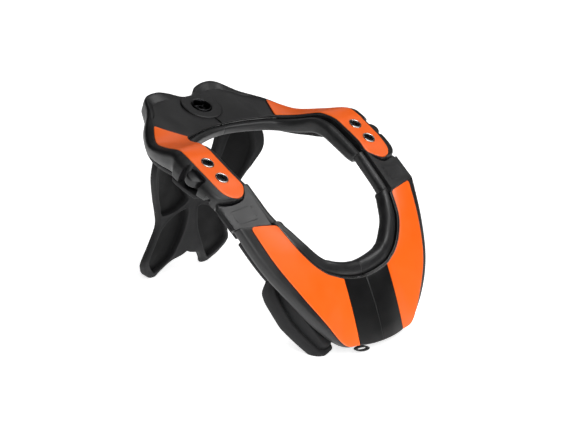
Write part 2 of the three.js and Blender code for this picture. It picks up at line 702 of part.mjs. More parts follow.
// Loop of flat webbing that hangs under the front edge: an upright oval that climbs to the side.
const LOOP = { x: -23.6, y: -119.8, z: 4.4, climb: -0.2, long: 10.0, tall: 2.7, deep: 3.0 };
const LOOP_HOLE = { long: 6.6, tall: 1.2 };

function loopOval(long, tall, deep) {
  const outline = steps(0, Math.PI * 2, 15).slice(0, 14).map((t) => {
    const along = long * Math.cos(t);
    return [along, LOOP.climb * along + tall * Math.sin(t)];
  });
  const rings = [-deep / 2, deep / 2].map((back) => outline.map(([along, up]) => vec(LOOP.x + along,
    LOOP.y + back, LOOP.z + up)));
  return loft(rings, outline, outline);
}

function strapLoop() {
  return cut(loopOval(LOOP.long, LOOP.tall, LOOP.deep), [loopOval(LOOP_HOLE.long, LOOP_HOLE.tall, LOOP.deep * 3)]);
}

addPair('rear_shell', rearShell(), BLACK_SHELL);
addPair('arm_trim', armTrim(), ORANGE_PANEL);
addPair('release_button', releaseButton(), BLACK_SHELL);
add('hub_disc', hubDisc(), BLACK_SHELL);
add('hub_screw', onHub([[0, 0], [HUB_SCREW_R, 0], [HUB_SCREW_R, 1.2], [HUB_SCREW_R - 2.4, 2.4], [0, 2.4]], 24),
  BLACK_SCREW);
Object.entries(EYELET_ROWS).forEach(([place2, row]) => {
  addPair(`eyelet_${place2}`, onEyelet(row, [[EYELET_BORE_R, 0], [EYELET_R, 0], [EYELET_R, EYELET_TALL - 0.4],
    [EYELET_R - 0.5, EYELET_TALL], [EYELET_BORE_R + 0.3, EYELET_TALL], [EYELET_BORE_R, EYELET_TALL - 0.5]], 14),
  STEEL);
  addPair(`arm_screw_${place2}`, onEyelet(row, [[0, 0], [SCREW_R, 0], [SCREW_R, 1.2], [SCREW_R - 0.5, 1.6],
    [2.2, 1.6], [2.0, 0.6], [0, 0.6]], 12), BLACK_SCREW);
});
addPair('rear_neck_pad', roll(REAR, REAR_KEYS, REAR_ROLL, 0.03, ROLL_END, 23), BLACK_PAD);
addPair('arm_under_pad', underStrip(REAR, REAR_KEYS, UNDER_FROM, UNDER_TO, 14, 3), BLACK_FOAM);
add('rear_stabiliser', rearStabiliser(), BLACK_PAD);
add('bib_shell', bibShell(), BLACK_SHELL);
addPair('bib_panel', alongTable(BIB, BIB_KEYS, [0.03, 0.5, 1, 1.5, 2, 2.5, 3, 3.5, 4, 4.5, STRIPE_ROW - 0.02],
  (s) => stripSection(s, TRIM_EDGE)), ORANGE_PANEL);
add('bib_stripe', bibStripe(), BLACK_SHELL);
addPair('bridge', bridge(), BLACK_SHELL);
addPair('bridge_under_pad', cut(planePlate(bridgeOutline(-0.4), BRIDGE_THICK + GAP,
  BRIDGE_THICK + BRIDGE_PAD_THICK), [bibSide(4)]), BLACK_FOAM);
addPair('bridge_pad', cut(bridgeRoll(), [bibSide()]), BLACK_PAD);
addPair('front_neck_pad', roll(BIB, BIB_KEYS, FRONT_ROLL, 0.02, 6.985, 18), BLACK_PAD);
addPair('bib_under_pad', underStrip(BIB, BIB_KEYS, 0.3, 1.25, 5, 9), BLACK_FOAM);
addPair('chest_pad', chestPad(), BLACK_FOAM);
add('strap_loop', strapLoop(), BLACK_PAD);

export default brace;
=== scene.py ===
# %% [markdown]
# A rigid neck brace for riding, dressed for the camera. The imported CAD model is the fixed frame:
# it says where every piece sits and which pieces move together. Each step below draws one piece
# again, finer and softer than the CAD solid, lays a real material on it and lets it ride on the
# same body. Drawing again from the same tables keeps every piece where the frame has it.

# %% Load the frame
import math
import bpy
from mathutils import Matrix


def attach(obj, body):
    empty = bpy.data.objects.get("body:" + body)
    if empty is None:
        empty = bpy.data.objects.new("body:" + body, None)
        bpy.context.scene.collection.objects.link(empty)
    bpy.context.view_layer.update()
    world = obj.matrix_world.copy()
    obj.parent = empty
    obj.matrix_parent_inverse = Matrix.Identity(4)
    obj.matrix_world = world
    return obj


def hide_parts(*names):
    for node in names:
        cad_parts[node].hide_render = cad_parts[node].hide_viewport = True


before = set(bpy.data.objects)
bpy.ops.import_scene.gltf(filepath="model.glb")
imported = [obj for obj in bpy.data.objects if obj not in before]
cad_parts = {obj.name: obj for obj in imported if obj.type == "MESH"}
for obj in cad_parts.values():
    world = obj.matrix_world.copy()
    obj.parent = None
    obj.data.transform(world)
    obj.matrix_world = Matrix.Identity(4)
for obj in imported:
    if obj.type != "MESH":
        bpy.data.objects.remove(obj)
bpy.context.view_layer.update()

from types import SimpleNamespace

import bmesh
import bpy
import numpy as np
from mathutils import Matrix, Vector

# %% [markdown]
# The brace is a bent strip: a rear yoke that runs out into two arms, and a chest bib. Each strip
# is kept as a table of stations, one row for each cut across it, in millimetres. A station says
# where the inner and outer edges of the top face are, how far the face is dished, and how the
# outer bevel falls away. Only the wearer's left half is listed; the right half is its mirror.

# %% The two station tables
STRIP_COLUMNS = "in_x in_y in_z out_x out_y out_z sag rim drop tuck deep".split()
YOKE = [
    [0.2, 92.0, 166.0, 0.2, 138.0, 183.4, 0.0, 1.5, 17.0, 3.0, 11.0],
    [9.0, 91.8, 166.0, 9.0, 140.5, 184.4, 0.3, 1.5, 18.0, 3.0, 11.0],
    [19.0, 90.6, 166.0, 18.0, 149.0, 187.4, 0.8, 1.5, 24.0, 7.0, 11.0],
    [31.0, 87.8, 166.0, 32.0, 150.0, 190.6, 3.0, 1.5, 28.0, 9.0, 11.0],
    [43.0, 83.6, 166.0, 47.0, 148.0, 188.2, 2.8, 2.5, 27.0, 8.0, 11.0],
    [51.5, 80.6, 165.8, 59.5, 128.5, 179.6, 1.4, 5.0, 21.0, 3.0, 11.0],
    [58.2, 77.0, 165.7, 75.3, 108.3, 172.9, 0.4, 8.0, 15.0, 1.0, 11.0],
    [66.0, 66.5, 166.6, 87.0, 94.0, 167.0, 0.0, 8.5, 12.0, 1.0, 12.0],
    [71.5, 56.5, 168.4, 95.5, 80.5, 164.8, 0.0, 8.0, 11.0, 1.0, 14.0],
    [76.5, 47.0, 170.8, 105.5, 57.0, 168.6, 0.0, 8.5, 14.0, 1.0, 17.0],
    [80.2, 36.8, 172.6, 113.0, 32.5, 173.4, -0.6, 9.0, 19.0, 1.0, 19.0],
    [82.8, 22.0, 170.2, 114.6, 20.5, 170.4, -0.6, 9.5, 20.0, 1.0, 20.0],
    [83.6, 9.4, 164.4, 114.6, 9.0, 164.6, 0.0, 9.5, 19.0, 1.0, 19.0],
    [83.6, -9.4, 154.8, 114.2, -9.2, 155.0, 0.0, 9.5, 15.0, 1.0, 16.0],
    [82.2, -19.6, 148.2, 112.4, -22.0, 147.2, 0.0, 9.0, 11.0, 1.0, 11.0],
    [86.8, -26.4, 144.4, 107.6, -28.4, 143.2, 0.0, 7.5, 10.0, 1.0, 10.0],
    [93.0, -31.0, 141.6, 101.0, -31.4, 141.2, 0.0, 3.5, 9.0, 1.0, 9.0],
]
BIB = [
    [76.5, -59.0, 118.6, 106.5, -54.6, 122.7, -1.0, 13.0, 11.0, 1.0, 10.0],
    [68.8, -76.0, 100.4, 97.0, -77.0, 92.4, -1.0, 11.5, 12.0, 1.0, 10.0],
    [57.2, -86.8, 84.6, 82.6, -97.6, 63.8, -1.0, 9.0, 12.0, 1.0, 10.0],
    [46.0, -92.6, 75.4, 65.6, -110.6, 38.6, -1.0, 7.5, 12.0, 1.0, 10.0],
    [37.4, -95.6, 71.6, 47.0, -119.1, 14.0, -1.0, 1.8, 8.0, 1.0, 10.0],
    [29.4, -98.0, 68.6, 29.6, -122.0, 9.9, -1.2, 0.6, 5.0, 0.6, 10.0],
    [14.0, -98.8, 64.8, 14.0, -124.2, 8.3, -1.6, 0.6, 5.0, 0.6, 10.0],
    [0.0, -98.8, 63.4, 0.0, -124.8, 7.9, -1.8, 0.6, 5.0, 0.6, 10.0],
]
GAP = 0.35  # air between neighbouring pieces
SHIFT_Y = -15.0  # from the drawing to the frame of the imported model


def metres(p):
    """A point of the drawing, in millimetres, as a point of the frame, in metres."""
    return Vector((p[0], p[1] + SHIFT_Y, p[2])) * 0.001


def curve_between(t, start, start_slope, end, end_slope):
    """A smooth way from one value to the next, with the slope given at each."""
    t2, t3 = t * t, t * t * t
    return ((2 * t3 - 3 * t2 + 1) * start + (t3 - 2 * t2 + t) * start_slope
            + (3 * t2 - 2 * t3) * end + (t3 - t2) * end_slope)


def row_at(table, u):
    """Smooth values of every column at a fractional row number."""
    last = len(table) - 1
    i = min(max(math.floor(u), 0), last - 1)
    before, here, there, after = (table[min(max(k, 0), last)] for k in range(i - 1, i + 3))
    return [curve_between(u - i, b, (d - a) / 2, d, (e - b) / 2)
            for a, b, d, e in zip(before, here, there, after)]


def station(table, u):
    """The cut across a strip: its inner edge, the way across, the way up, and its sizes."""
    s = SimpleNamespace(**dict(zip(STRIP_COLUMNS, row_at(table, u))))
    s.inner = Vector((s.in_x, s.in_y, s.in_z))
    s.across = Vector((s.out_x, s.out_y, s.out_z)) - s.inner
    s.width = s.across.length
    s.across.normalize()
    near = [row_at(table, min(max(v, 0), len(table) - 1)) for v in (u - 0.05, u + 0.05)]
    middle = [Vector((r[0] + r[3], r[1] + r[4], r[2] + r[5])) / 2 for r in near]
    s.along = (middle[1] - middle[0]).normalized()
    s.normal = s.across.cross(s.along).normalized()
    if s.normal.z < 0:
        s.normal.negate()
    return s


def place(s, a, h):
    """A point a mm across and h mm above the top face of a station."""
    return s.inner + s.across * a + s.normal * h


def flipped(p):
    """The same point or way on the wearer's other side."""
    return Vector((-p.x, p.y, p.z))


def steps(start, end, count):
    """Evenly spaced numbers from start to end."""
    return [start + (end - start) * i / (count - 1) for i in range(count)]


print("yoke rows", len(YOKE), "bib rows", len(BIB))
print("arm width at the rear eyelet, mm", round(station(YOKE, 12).width, 1))

# %% [markdown]
# Moulded pieces have no knife edges. A cut is drawn as a few corners, each with the length of
# its rounding, and every corner is turned into a short curve. All cuts of one piece have the same
# number of points, so a skin can be stretched from each to the next. That gives clean four-sided
# faces, which shade better than a block with its edges bevelled afterwards.

# %% From corners to a skin
def rounded(corners, pieces=4):
    """Corner list of (a, h, rounding) as a closed line with soft corners."""
    line = []
    for k, (a, h, soft) in enumerate(corners):
        here = Vector((a, h))
        back = Vector(corners[k - 1][:2]) - here
        ahead = Vector(corners[(k + 1) % len(corners)][:2]) - here
        first = here + back.normalized() * min(soft, 0.45 * back.length)
        last = here + ahead.normalized() * min(soft, 0.45 * ahead.length)
        for t in steps(0, 1, pieces + 1):
            line.append(first * (1 - t) ** 2 + here * (2 * t * (1 - t)) + last * t * t)
    return line


def ring_of(s, corners, pieces=4):
    """The rounded corners of a cut, placed on its station."""
    return [place(s, a, h) for a, h in rounded(corners, pieces)]


def inset_ring(ring, outward, inset, forward):
    """The ring moved forward and drawn in by the same amount all round."""
    count = len(ring)
    turn = sum((ring[k].cross(ring[(k + 1) % count]) for k in range(count)), Vector())
    sign = 1 if turn.dot(outward) > 0 else -1
    moved = []
    for k, p in enumerate(ring):
        edge = ring[(k + 1) % count] - ring[k - 1]
        inward = outward.cross(edge) * sign
        if inward.length > 1e-9:
            inward.normalize()
        moved.append(p + inward * inset + outward * forward)
    return moved


def soft_ends(rings, soft, pieces=4, first=True, last=True):
    """Adds rounded noses to the two ends of a list of rings."""
    def nose(ring, next_ring):
        outward = sum(ring, Vector()) / len(ring) - sum(next_ring, Vector()) / len(next_ring)
        outward.normalize()
        turns = [0.5 * math.pi * k / pieces for k in range(1, pieces + 1)]
        return [inset_ring(ring, outward, soft * (1 - math.cos(t)), soft * math.sin(t)) for t in turns]

    head = nose(rings[0], rings[1])[::-1] if first else []
    tail = nose(rings[-1], rings[-2]) if last else []
    return head + rings + tail


def new_piece(name, points, faces):
    """A mesh object from drawing points and faces, with its faces turned outwards."""
    mesh = bpy.data.meshes.new(name)
    mesh.from_pydata([metres(p) for p in points], [], faces)
    work = bmesh.new()
    work.from_mesh(mesh)
    bmesh.ops.remove_doubles(work, verts=work.verts, dist=2e-6)
    bmesh.ops.recalc_face_normals(work, faces=work.faces)
    work.to_mesh(mesh)
    work.free()
    piece = bpy.data.objects.new(name, mesh)
    bpy.context.scene.collection.objects.link(piece)
    return piece


def skin(name, rings, round_about=False):
    """A closed piece through rings of equal size; round_about joins the last to the first."""
    count, total = len(rings[0]), len(rings)
    faces = []
    for r in range(total if round_about else total - 1):
        for k in range(count):
            a, b = r * count + k, r * count + (k + 1) % count
            c, d = (b + count) % (total * count), (a + count) % (total * count)
            faces.append((a, b, c, d))
    if not round_about:
        faces += [tuple(range(count)), tuple(range((total - 1) * count, total * count))]
    return new_piece(name, [p for ring in rings for p in ring], faces)


square = [(0, 0, 1), (9, 0, 1), (9, 9, 1), (0, 9, 1)]
print("a square with soft corners has", len(rounded(square)), "points")

# %% [markdown]
# Some shapes are easier to cut than to draw: a notch, a slot, a screw hole. For those a tool
# block is made and taken away with a Boolean, and the result is kept as plain mesh. Turned
# pieces, such as rings and screws, are a half profile spun about an axis.

# %% Blocks, turned pieces and cutting
SOLVER = "MANIFOLD"  # quick and clean, but every piece and tool has to be closed


def block(name, centre, x, y, z, sizes, soft=0.0):
    """A box on its own axes; soft rounds all its edges."""
    work = bmesh.new()
    bmesh.ops.create_cube(work, size=1.0)
    bmesh.ops.scale(work, vec=Vector(sizes), verts=work.verts)
    if soft:
        bmesh.ops.bevel(work, geom=list(work.edges), offset=soft, segments=4, profile=0.5,
                        affect="EDGES")
    points = [centre + x * v.co.x + y * v.co.y + z * v.co.z for v in work.verts]
    faces = [tuple(v.index for v in f.verts) for f in work.faces]
    work.free()
    return new_piece(name, points, faces)


def turned(name, profile, centre, x, y, axis, sides=40):
    """A profile of (radius, height) points, closed on itself, spun about an axis."""
    rings = []
    for k in range(sides):
        angle = 2 * math.pi * k / sides
        way = x * math.cos(angle) + y * math.sin(angle)
        rings.append([centre + way * max(r, 0.01) + axis * h for r, h in profile])
    return skin(name, rings, round_about=True)


def round_tool(radius, low, high, centre, x, y, axis, sides):
    """A round cutter between two heights on an axis; six sides give a hexagon."""
    profile = [(0, low), (radius, low), (radius, high), (0, high)]
    return turned("cutter", profile, centre, x, y, axis, sides)


def keep_evaluated(piece):
    """Turns a piece's modifiers into plain mesh."""
    graph = bpy.context.evaluated_depsgraph_get()
    mesh = bpy.data.meshes.new_from_object(piece.evaluated_get(graph))
    piece.modifiers.clear()
    piece.data = mesh


def carve(piece, *tools, operation="DIFFERENCE"):
    """Takes the tool blocks away from a piece, or joins them to it, then deletes the blocks."""
    for tool in tools:
        cut = piece.modifiers.new("carve", "BOOLEAN")
        cut.operation, cut.solver, cut.object = operation, SOLVER, tool
    keep_evaluated(piece)
    for tool in tools:
        bpy.data.objects.remove(tool)


print("cutters use the solver", SOLVER)

# %% [markdown]
# Finishes come next. A colour picked from a picture is an sRGB value, while a shader adds up
# light in linear values, so one function does that change for all of them. One more small
# function adds a node, sets it and links it, so that a material reads from top to bottom.

# %% Colour and node helpers
def linear(hex_colour):
    """#RRGGBB, as seen on a screen, to the linear RGBA that a shader needs."""
    parts = [int(hex_colour[i:i + 2], 16) / 255 for i in (1, 3, 5)]
    return [c / 12.92 if c <= 0.04045 else ((c + 0.055) / 1.055) ** 2.4 for c in parts] + [1.0]


def per_metre(size_mm):
    """Texture scale for a pattern whose features are this many millimetres wide."""
    return 1000.0 / size_mm


def add_node(tree, kind, inputs=None, **settings):
    """Adds a node; inputs holds a value or another node's output for each socket."""
    node = tree.nodes.new(kind)
    for name, value in settings.items():
        setattr(node, name, value)
    for socket, value in (inputs or {}).items():
        if isinstance(value, bpy.types.NodeSocket):
            tree.links.new(value, node.inputs[socket])
        else:
            node.inputs[socket].default_value = value
    return node


def start_material(name):
    """A new material with its shader and the object's own coordinates."""
    material = bpy.data.materials.new(name)
    material.use_nodes = True
    tree = material.node_tree
    shader = tree.nodes["Principled BSDF"]
    where = add_node(tree, "ShaderNodeTexCoord").outputs["Object"]
    return material, tree, shader, where


print("orange #FF6A1E in linear light", [round(c, 3) for c in linear("#FF6A1E")])

# %% [markdown]
# The yoke, bib and bridges are glass-filled nylon, moulded in a tool whose walls were spark
# eroded. To the eye that is a dark satin: one soft broad highlight, a fine grain, and a
# slightly paler, smoother line where hands have rubbed the edges. Pointiness finds those edges.

# %% Glass-filled nylon, satin moulded
NYLON_GRAIN_MM = 0.9  # the real grain is about 0.3 mm, drawn coarser so that it shows
NYLON_CLOUD_MM = 28.0  # slow change of gloss from the flow of the melt

nylon, tree, shader, where = start_material("glass_filled_nylon_satin_black")
grain = add_node(tree, "ShaderNodeTexNoise",
                 {"Vector": where, "Scale": per_metre(NYLON_GRAIN_MM), "Detail": 3.0, "Roughness": 0.6})
cloud = add_node(tree, "ShaderNodeTexNoise",
                 {"Vector": where, "Scale": per_metre(NYLON_CLOUD_MM), "Detail": 2.0})
edges = add_node(tree, "ShaderNodeNewGeometry")
edge_wear_and_highlight = add_node(tree, "ShaderNodeMapRange",
               {0: edges.outputs["Pointiness"], 1: 0.515, 2: 0.60, 3: 0.0, 4: 0.55})
tone = add_node(tree, "ShaderNodeMix",
                {0: cloud.outputs["Fac"], 6: linear("#111112"), 7: linear("#161617")}, data_type="RGBA")
worn_and_highlighted = add_node(tree, "ShaderNodeMix",
                {0: edge_wear_and_highlight.outputs[0], 6: tone.outputs[2], 7: linear("#262627")}, data_type="RGBA")
gloss = add_node(tree, "ShaderNodeMapRange",
                 {0: cloud.outputs["Fac"], 1: 0.3, 2: 0.7, 3: 0.40, 4: 0.50})
relief = add_node(tree, "ShaderNodeBump",
                  {"Height": grain.outputs["Fac"], "Strength": 0.16, "Distance": 0.0004})
tree.links.new(worn_and_highlighted.outputs[2], shader.inputs["Base Color"])
tree.links.new(gloss.outputs[0], shader.inputs["Roughness"])
tree.links.new(relief.outputs["Normal"], shader.inputs["Normal"])
shader.inputs["IOR"].default_value = 1.53
print("made", nylon.name, "grain scale", round(per_metre(NYLON_GRAIN_MM)))

# %% [markdown]
# The coloured panels are ABS, moulded in colour and left with a silky gloss. The eye gets a
# clean strong orange, a little deeper in some places, with a soft sheen along the crowned face
# and a very fine ripple, as on any large moulded cover. The thin highlight along the rounded
# edges is painted in as a pale peach line, placed where Pointiness finds the edges.

# %% ABS, moulded in orange
ABS_RIPPLE_MM = 16.0
ABS_GRAIN_MM = 0.8  # finer on the real cover, drawn as coarse as it needs to show

abs_orange, tree, shader, where = start_material("abs_moulded_orange")
ripple = add_node(tree, "ShaderNodeTexNoise",
                  {"Vector": where, "Scale": per_metre(ABS_RIPPLE_MM), "Detail": 2.0})
grain = add_node(tree, "ShaderNodeTexNoise",
                 {"Vector": where, "Scale": per_metre(ABS_GRAIN_MM), "Detail": 2.0})
# painted highlight: the sharp edges are coloured pale peach, in place of the thin highlight that light lays
# along the cover's rounded edge
edges = add_node(tree, "ShaderNodeNewGeometry")
edge_wear_and_highlight = add_node(tree, "ShaderNodeMapRange",
               {0: edges.outputs["Pointiness"], 1: 0.52, 2: 0.62, 3: 0.0, 4: 0.5})
tone = add_node(tree, "ShaderNodeMix",
                {0: ripple.outputs["Fac"], 6: linear("#FF640E"), 7: linear("#FF6B12")}, data_type="RGBA")
worn_and_highlighted = add_node(tree, "ShaderNodeMix",
                {0: edge_wear_and_highlight.outputs[0], 6: tone.outputs[2], 7: linear("#FF9A54")}, data_type="RGBA")
gloss = add_node(tree, "ShaderNodeMapRange",
                 {0: ripple.outputs["Fac"], 1: 0.3, 2: 0.7, 3: 0.33, 4: 0.42})
relief = add_node(tree, "ShaderNodeBump",
                  {"Height": grain.outputs["Fac"], "Strength": 0.06, "Distance": 0.0003})
tree.links.new(worn_and_highlighted.outputs[2], shader.inputs["Base Color"])
tree.links.new(gloss.outputs[0], shader.inputs["Roughness"])
tree.links.new(relief.outputs["Normal"], shader.inputs["Normal"])
shader.inputs["IOR"].default_value = 1.54
print("made", abs_orange.name)

# %% [markdown]
# The middle cover of the bib is the same plastic in black. It is deeper and cleaner than the nylon,
# because nothing fills it, so it shows as the blackest part of the front.

# %% ABS, moulded in black
abs_black, tree, shader, where = start_material("abs_moulded_black")
ripple = add_node(tree, "ShaderNodeTexNoise",
                  {"Vector": where, "Scale": per_metre(ABS_RIPPLE_MM), "Detail": 2.0})
tone = add_node(tree, "ShaderNodeMix",
                {0: ripple.outputs["Fac"], 6: linear("#060607"), 7: linear("#0A0A0B")}, data_type="RGBA")
gloss = add_node(tree, "ShaderNodeMapRange",
                 {0: ripple.outputs["Fac"], 1: 0.3, 2: 0.7, 3: 0.33, 4: 0.38})
tree.links.new(tone.outputs[2], shader.inputs["Base Color"])
tree.links.new(gloss.outputs[0], shader.inputs["Roughness"])
shader.inputs["IOR"].default_value = 1.54
print("made", abs_black.name)

# %% [markdown]
# The rolls round the neck are soft foam in a coated skin, heat sealed and wiped clean. The eye
# sees a dark pebbled surface with a long, soft, greyish highlight along each roll and small
# creases across it, so the bump has a fine pebble and a slow crease on top of each other.

# %% Coated foam of the neck rolls
PEBBLE_MM = 1.1
CREASE_MM = 9.0

roll_skin, tree, shader, where = start_material("polyurethane_coated_foam_black")
pebble = add_node(tree, "ShaderNodeTexVoronoi",
                  {"Vector": where, "Scale": per_metre(PEBBLE_MM)}, feature="F1")
crease = add_node(tree, "ShaderNodeTexNoise",
                  {"Vector": where, "Scale": per_metre(CREASE_MM), "Detail": 3.0, "Distortion": 0.4})
tone = add_node(tree, "ShaderNodeMix",
                {0: crease.outputs["Fac"], 6: linear("#131314"), 7: linear("#1B1B1C")}, data_type="RGBA")
gloss = add_node(tree, "ShaderNodeMapRange",
                 {0: crease.outputs["Fac"], 1: 0.3, 2: 0.7, 3: 0.36, 4: 0.50})
fine = add_node(tree, "ShaderNodeBump",
                {"Height": pebble.outputs["Distance"], "Strength": 0.10, "Distance": 0.0004})
relief = add_node(tree, "ShaderNodeBump",
                  {"Height": crease.outputs["Fac"], "Strength": 0.12, "Distance": 0.0012,
                   "Normal": fine.outputs["Normal"]})
tree.links.new(tone.outputs[2], shader.inputs["Base Color"])
tree.links.new(gloss.outputs[0], shader.inputs["Roughness"])
tree.links.new(relief.outputs["Normal"], shader.inputs["Normal"])
shader.inputs["IOR"].default_value = 1.50
shader.inputs["Sheen Weight"].default_value = 0.04
print("made", roll_skin.name)

# %% [markdown]
# The back plate, shoulder pads and chest pads are moulded EVA foam with a closed skin. It is
# duller than the nylon, with tiny pores and hardly any highlight. Handling greys the raised parts.
# The shade that falls in the hollows is painted into the colour, nearly black; a piece with
# hollows marks them by a value on its points.

# %% EVA foam, moulded with a closed skin
PORE_MM = 0.8
MOTTLE_MM = 20.0

eva_foam, tree, shader, where = start_material("eva_foam_moulded_black")
pore = add_node(tree, "ShaderNodeTexVoronoi",
                {"Vector": where, "Scale": per_metre(PORE_MM)}, feature="F1")
mottle = add_node(tree, "ShaderNodeTexNoise",
                  {"Vector": where, "Scale": per_metre(MOTTLE_MM), "Detail": 3.0})
edges = add_node(tree, "ShaderNodeNewGeometry")
edge_wear_and_highlight = add_node(tree, "ShaderNodeMapRange",
               {0: edges.outputs["Pointiness"], 1: 0.515, 2: 0.60, 3: 0.0, 4: 0.4})
tone = add_node(tree, "ShaderNodeMix",
                {0: mottle.outputs["Fac"], 6: linear("#202021"), 7: linear("#282829")}, data_type="RGBA")
worn_and_highlighted = add_node(tree, "ShaderNodeMix",
                {0: edge_wear_and_highlight.outputs[0], 6: tone.outputs[2], 7: linear("#333334")}, data_type="RGBA")
# painted shade: marked pocket points are coloured near black, standing in for the shade that falls in the
# pockets
painted_pocket_shade = add_node(tree, "ShaderNodeAttribute", attribute_name="painted_pocket_shade")
shaded = add_node(tree, "ShaderNodeMix",
                  {0: painted_pocket_shade.outputs["Fac"], 6: worn_and_highlighted.outputs[2], 7: linear("#0C0C0D")}, data_type="RGBA")
gloss = add_node(tree, "ShaderNodeMapRange",
                 {0: mottle.outputs["Fac"], 1: 0.3, 2: 0.7, 3: 0.58, 4: 0.74})
relief = add_node(tree, "ShaderNodeBump",
                  {"Height": pore.outputs["Distance"], "Strength": 0.14, "Distance": 0.0004})
tree.links.new(shaded.outputs[2], shader.inputs["Base Color"])
tree.links.new(gloss.outputs[0], shader.inputs["Roughness"])
tree.links.new(relief.outputs["Normal"], shader.inputs["Normal"])
shader.inputs["IOR"].default_value = 1.48
shader.inputs["Specular IOR Level"].default_value = 0.2  # the pores swallow most of the mirror light
print("made", eva_foam.name)

# %% [markdown]
# The eyelet rings are turned stainless steel: nearly a mirror, with faint tool rings that blur
# it. The screws are steel with a black oxide finish, which stays metal but reflects little.

# %% Stainless steel and black oxide steel
TOOL_MARK_MM = 0.35

stainless, tree, shader, where = start_material("stainless_steel_turned")
marks = add_node(tree, "ShaderNodeTexNoise",
                 {"Vector": where, "Scale": per_metre(TOOL_MARK_MM), "Detail": 2.0})
gloss = add_node(tree, "ShaderNodeMapRange",
                 {0: marks.outputs["Fac"], 1: 0.3, 2: 0.7, 3: 0.16, 4: 0.30})
relief = add_node(tree, "ShaderNodeBump",
                  {"Height": marks.outputs["Fac"], "Strength": 0.05, "Distance": 0.0001})
tree.links.new(gloss.outputs[0], shader.inputs["Roughness"])
tree.links.new(relief.outputs["Normal"], shader.inputs["Normal"])
shader.inputs["Base Color"].default_value = linear("#D2D2D0")
shader.inputs["Metallic"].default_value = 1.0

black_oxide, tree, shader, where = start_material("steel_black_oxide")
marks = add_node(tree, "ShaderNodeTexNoise",
                 {"Vector": where, "Scale": per_metre(TOOL_MARK_MM * 2), "Detail": 3.0})
tone = add_node(tree, "ShaderNodeMix",
                {0: marks.outputs["Fac"], 6: linear("#262628"), 7: linear("#38383A")}, data_type="RGBA")
gloss = add_node(tree, "ShaderNodeMapRange",
                 {0: marks.outputs["Fac"], 1: 0.3, 2: 0.7, 3: 0.22, 4: 0.36})
tree.links.new(tone.outputs[2], shader.inputs["Base Color"])
tree.links.new(gloss.outputs[0], shader.inputs["Roughness"])
shader.inputs["Metallic"].default_value = 1.0
print("made", stainless.name, "and", black_oxide.name)

# %% [markdown]
# The small loop under the bib is woven polyester webbing. Two sets of waves crossing each other
# give the threads, about one millimetre apart.

# %% Polyester webbing
THREAD_MM = 1.0
WAVE_SCALE = per_metre(THREAD_MM) * 2 * math.pi / 20  # a wave node turns 20 radians a metre at scale 1

webbing, tree, shader, where = start_material("polyester_webbing_black")
warp = add_node(tree, "ShaderNodeTexWave",
                {"Vector": where, "Scale": WAVE_SCALE, "Distortion": 0.3}, bands_direction="X")
weft = add_node(tree, "ShaderNodeTexWave",
                {"Vector": where, "Scale": WAVE_SCALE, "Distortion": 0.3}, bands_direction="Z")
weave = add_node(tree, "ShaderNodeMath",
                 {0: warp.outputs["Fac"], 1: weft.outputs["Fac"]}, operation="MULTIPLY")
tone = add_node(tree, "ShaderNodeMix",
                {0: weave.outputs[0], 6: linear("#101011"), 7: linear("#242425")}, data_type="RGBA")
gloss = add_node(tree, "ShaderNodeMapRange", {0: weave.outputs[0], 1: 0.0, 2: 1.0, 3: 0.75, 4: 0.5})
relief = add_node(tree, "ShaderNodeBump", {"Height": weave.outputs[0], "Strength": 0.3, "Distance": 0.0003})
tree.links.new(tone.outputs[2], shader.inputs["Base Color"])
tree.links.new(gloss.outputs[0], shader.inputs["Roughness"])
tree.links.new(relief.outputs["Normal"], shader.inputs["Normal"])
print("made", webbing.name)

# %% [markdown]
# Each finish carries the name of a material slot, which nothing here reads. A piece gets its
# finish, rides on its body, and hides the CAD nodes that it stands for. Pieces that come in twos
# are drawn once for the wearer's left and mirrored.

# %% Dressing a piece
SHELL = (nylon, "shell_black")
PANEL = (abs_orange, "panel_orange")
MIDDLE = (abs_black, "shell_black")
PAD = (roll_skin, "pad_black")
FOAM = (eva_foam, "foam_black")
BRIGHT = (stainless, "steel")
SCREW = (black_oxide, "screw_black")
STRAP = (webbing, "pad_black")


def dress(piece, finish, body, *nodes, sharp=38):
    """Smooth shading, finish, body and the CAD nodes that this piece stands for."""
    material, slot = finish
    piece.data.materials.clear()
    piece.data.materials.append(material)
    piece.data.shade_smooth()
    piece.data.set_sharp_from_angle(angle=math.radians(sharp))
    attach(piece, body)
    if nodes:
        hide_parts(*nodes)
    print(piece.name, "faces", len(piece.data.polygons))
    return piece


def mirrored(piece, name):
    """The same piece on the wearer's right."""
    twin = bpy.data.objects.new(name, piece.data.copy())
    twin.data.transform(Matrix.Scale(-1, 4, (1, 0, 0)))
    twin.data.flip_normals()
    bpy.context.scene.collection.objects.link(twin)
    return twin


def dress_pair(piece, finish, body, node=None, sharp=38):
    """Dresses a left piece and its mirror; SIDE in the body name stands for left or right."""
    stem = piece.name
    piece.name = stem + "_left"
    twin = mirrored(piece, stem + "_right")
    nodes = [[node + side] if node else [] for side in ("_left", "_right")]
    bodies = [body.replace("SIDE", side) for side in ("left", "right")]
    return [dress(p, finish, b, *n, sharp=sharp) for p, b, n in zip((piece, twin), bodies, nodes)]


def dress_pads(piece, finish, body, node, sharp=50):
    """Dresses a pair of soft pieces."""
    for padded_piece in dress_pair(piece, finish, body, node, sharp):
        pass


print("finishes", [slot for _, slot in (SHELL, PANEL, MIDDLE, PAD, FOAM, BRIGHT, SCREW, STRAP)])

# %% [markdown]
# The yoke is the big black part behind the neck: two moulded halves that meet in a seam, each with
# an upturned lobe at the back and an arm over the shoulder. Its cut has a soft inner edge, a
# dished top with a crease where the lip turns up, and a bevel that falls away outside.
# A skin through many fine cuts gives that in one go; a subdivided box would blur the crease.

# %% The cut across yoke and bib
def top_height(s, a):
    """How far the dished top face lies above the straight line across it."""
    t = a / s.width
    return -s.sag * 4 * t * (1 - t)


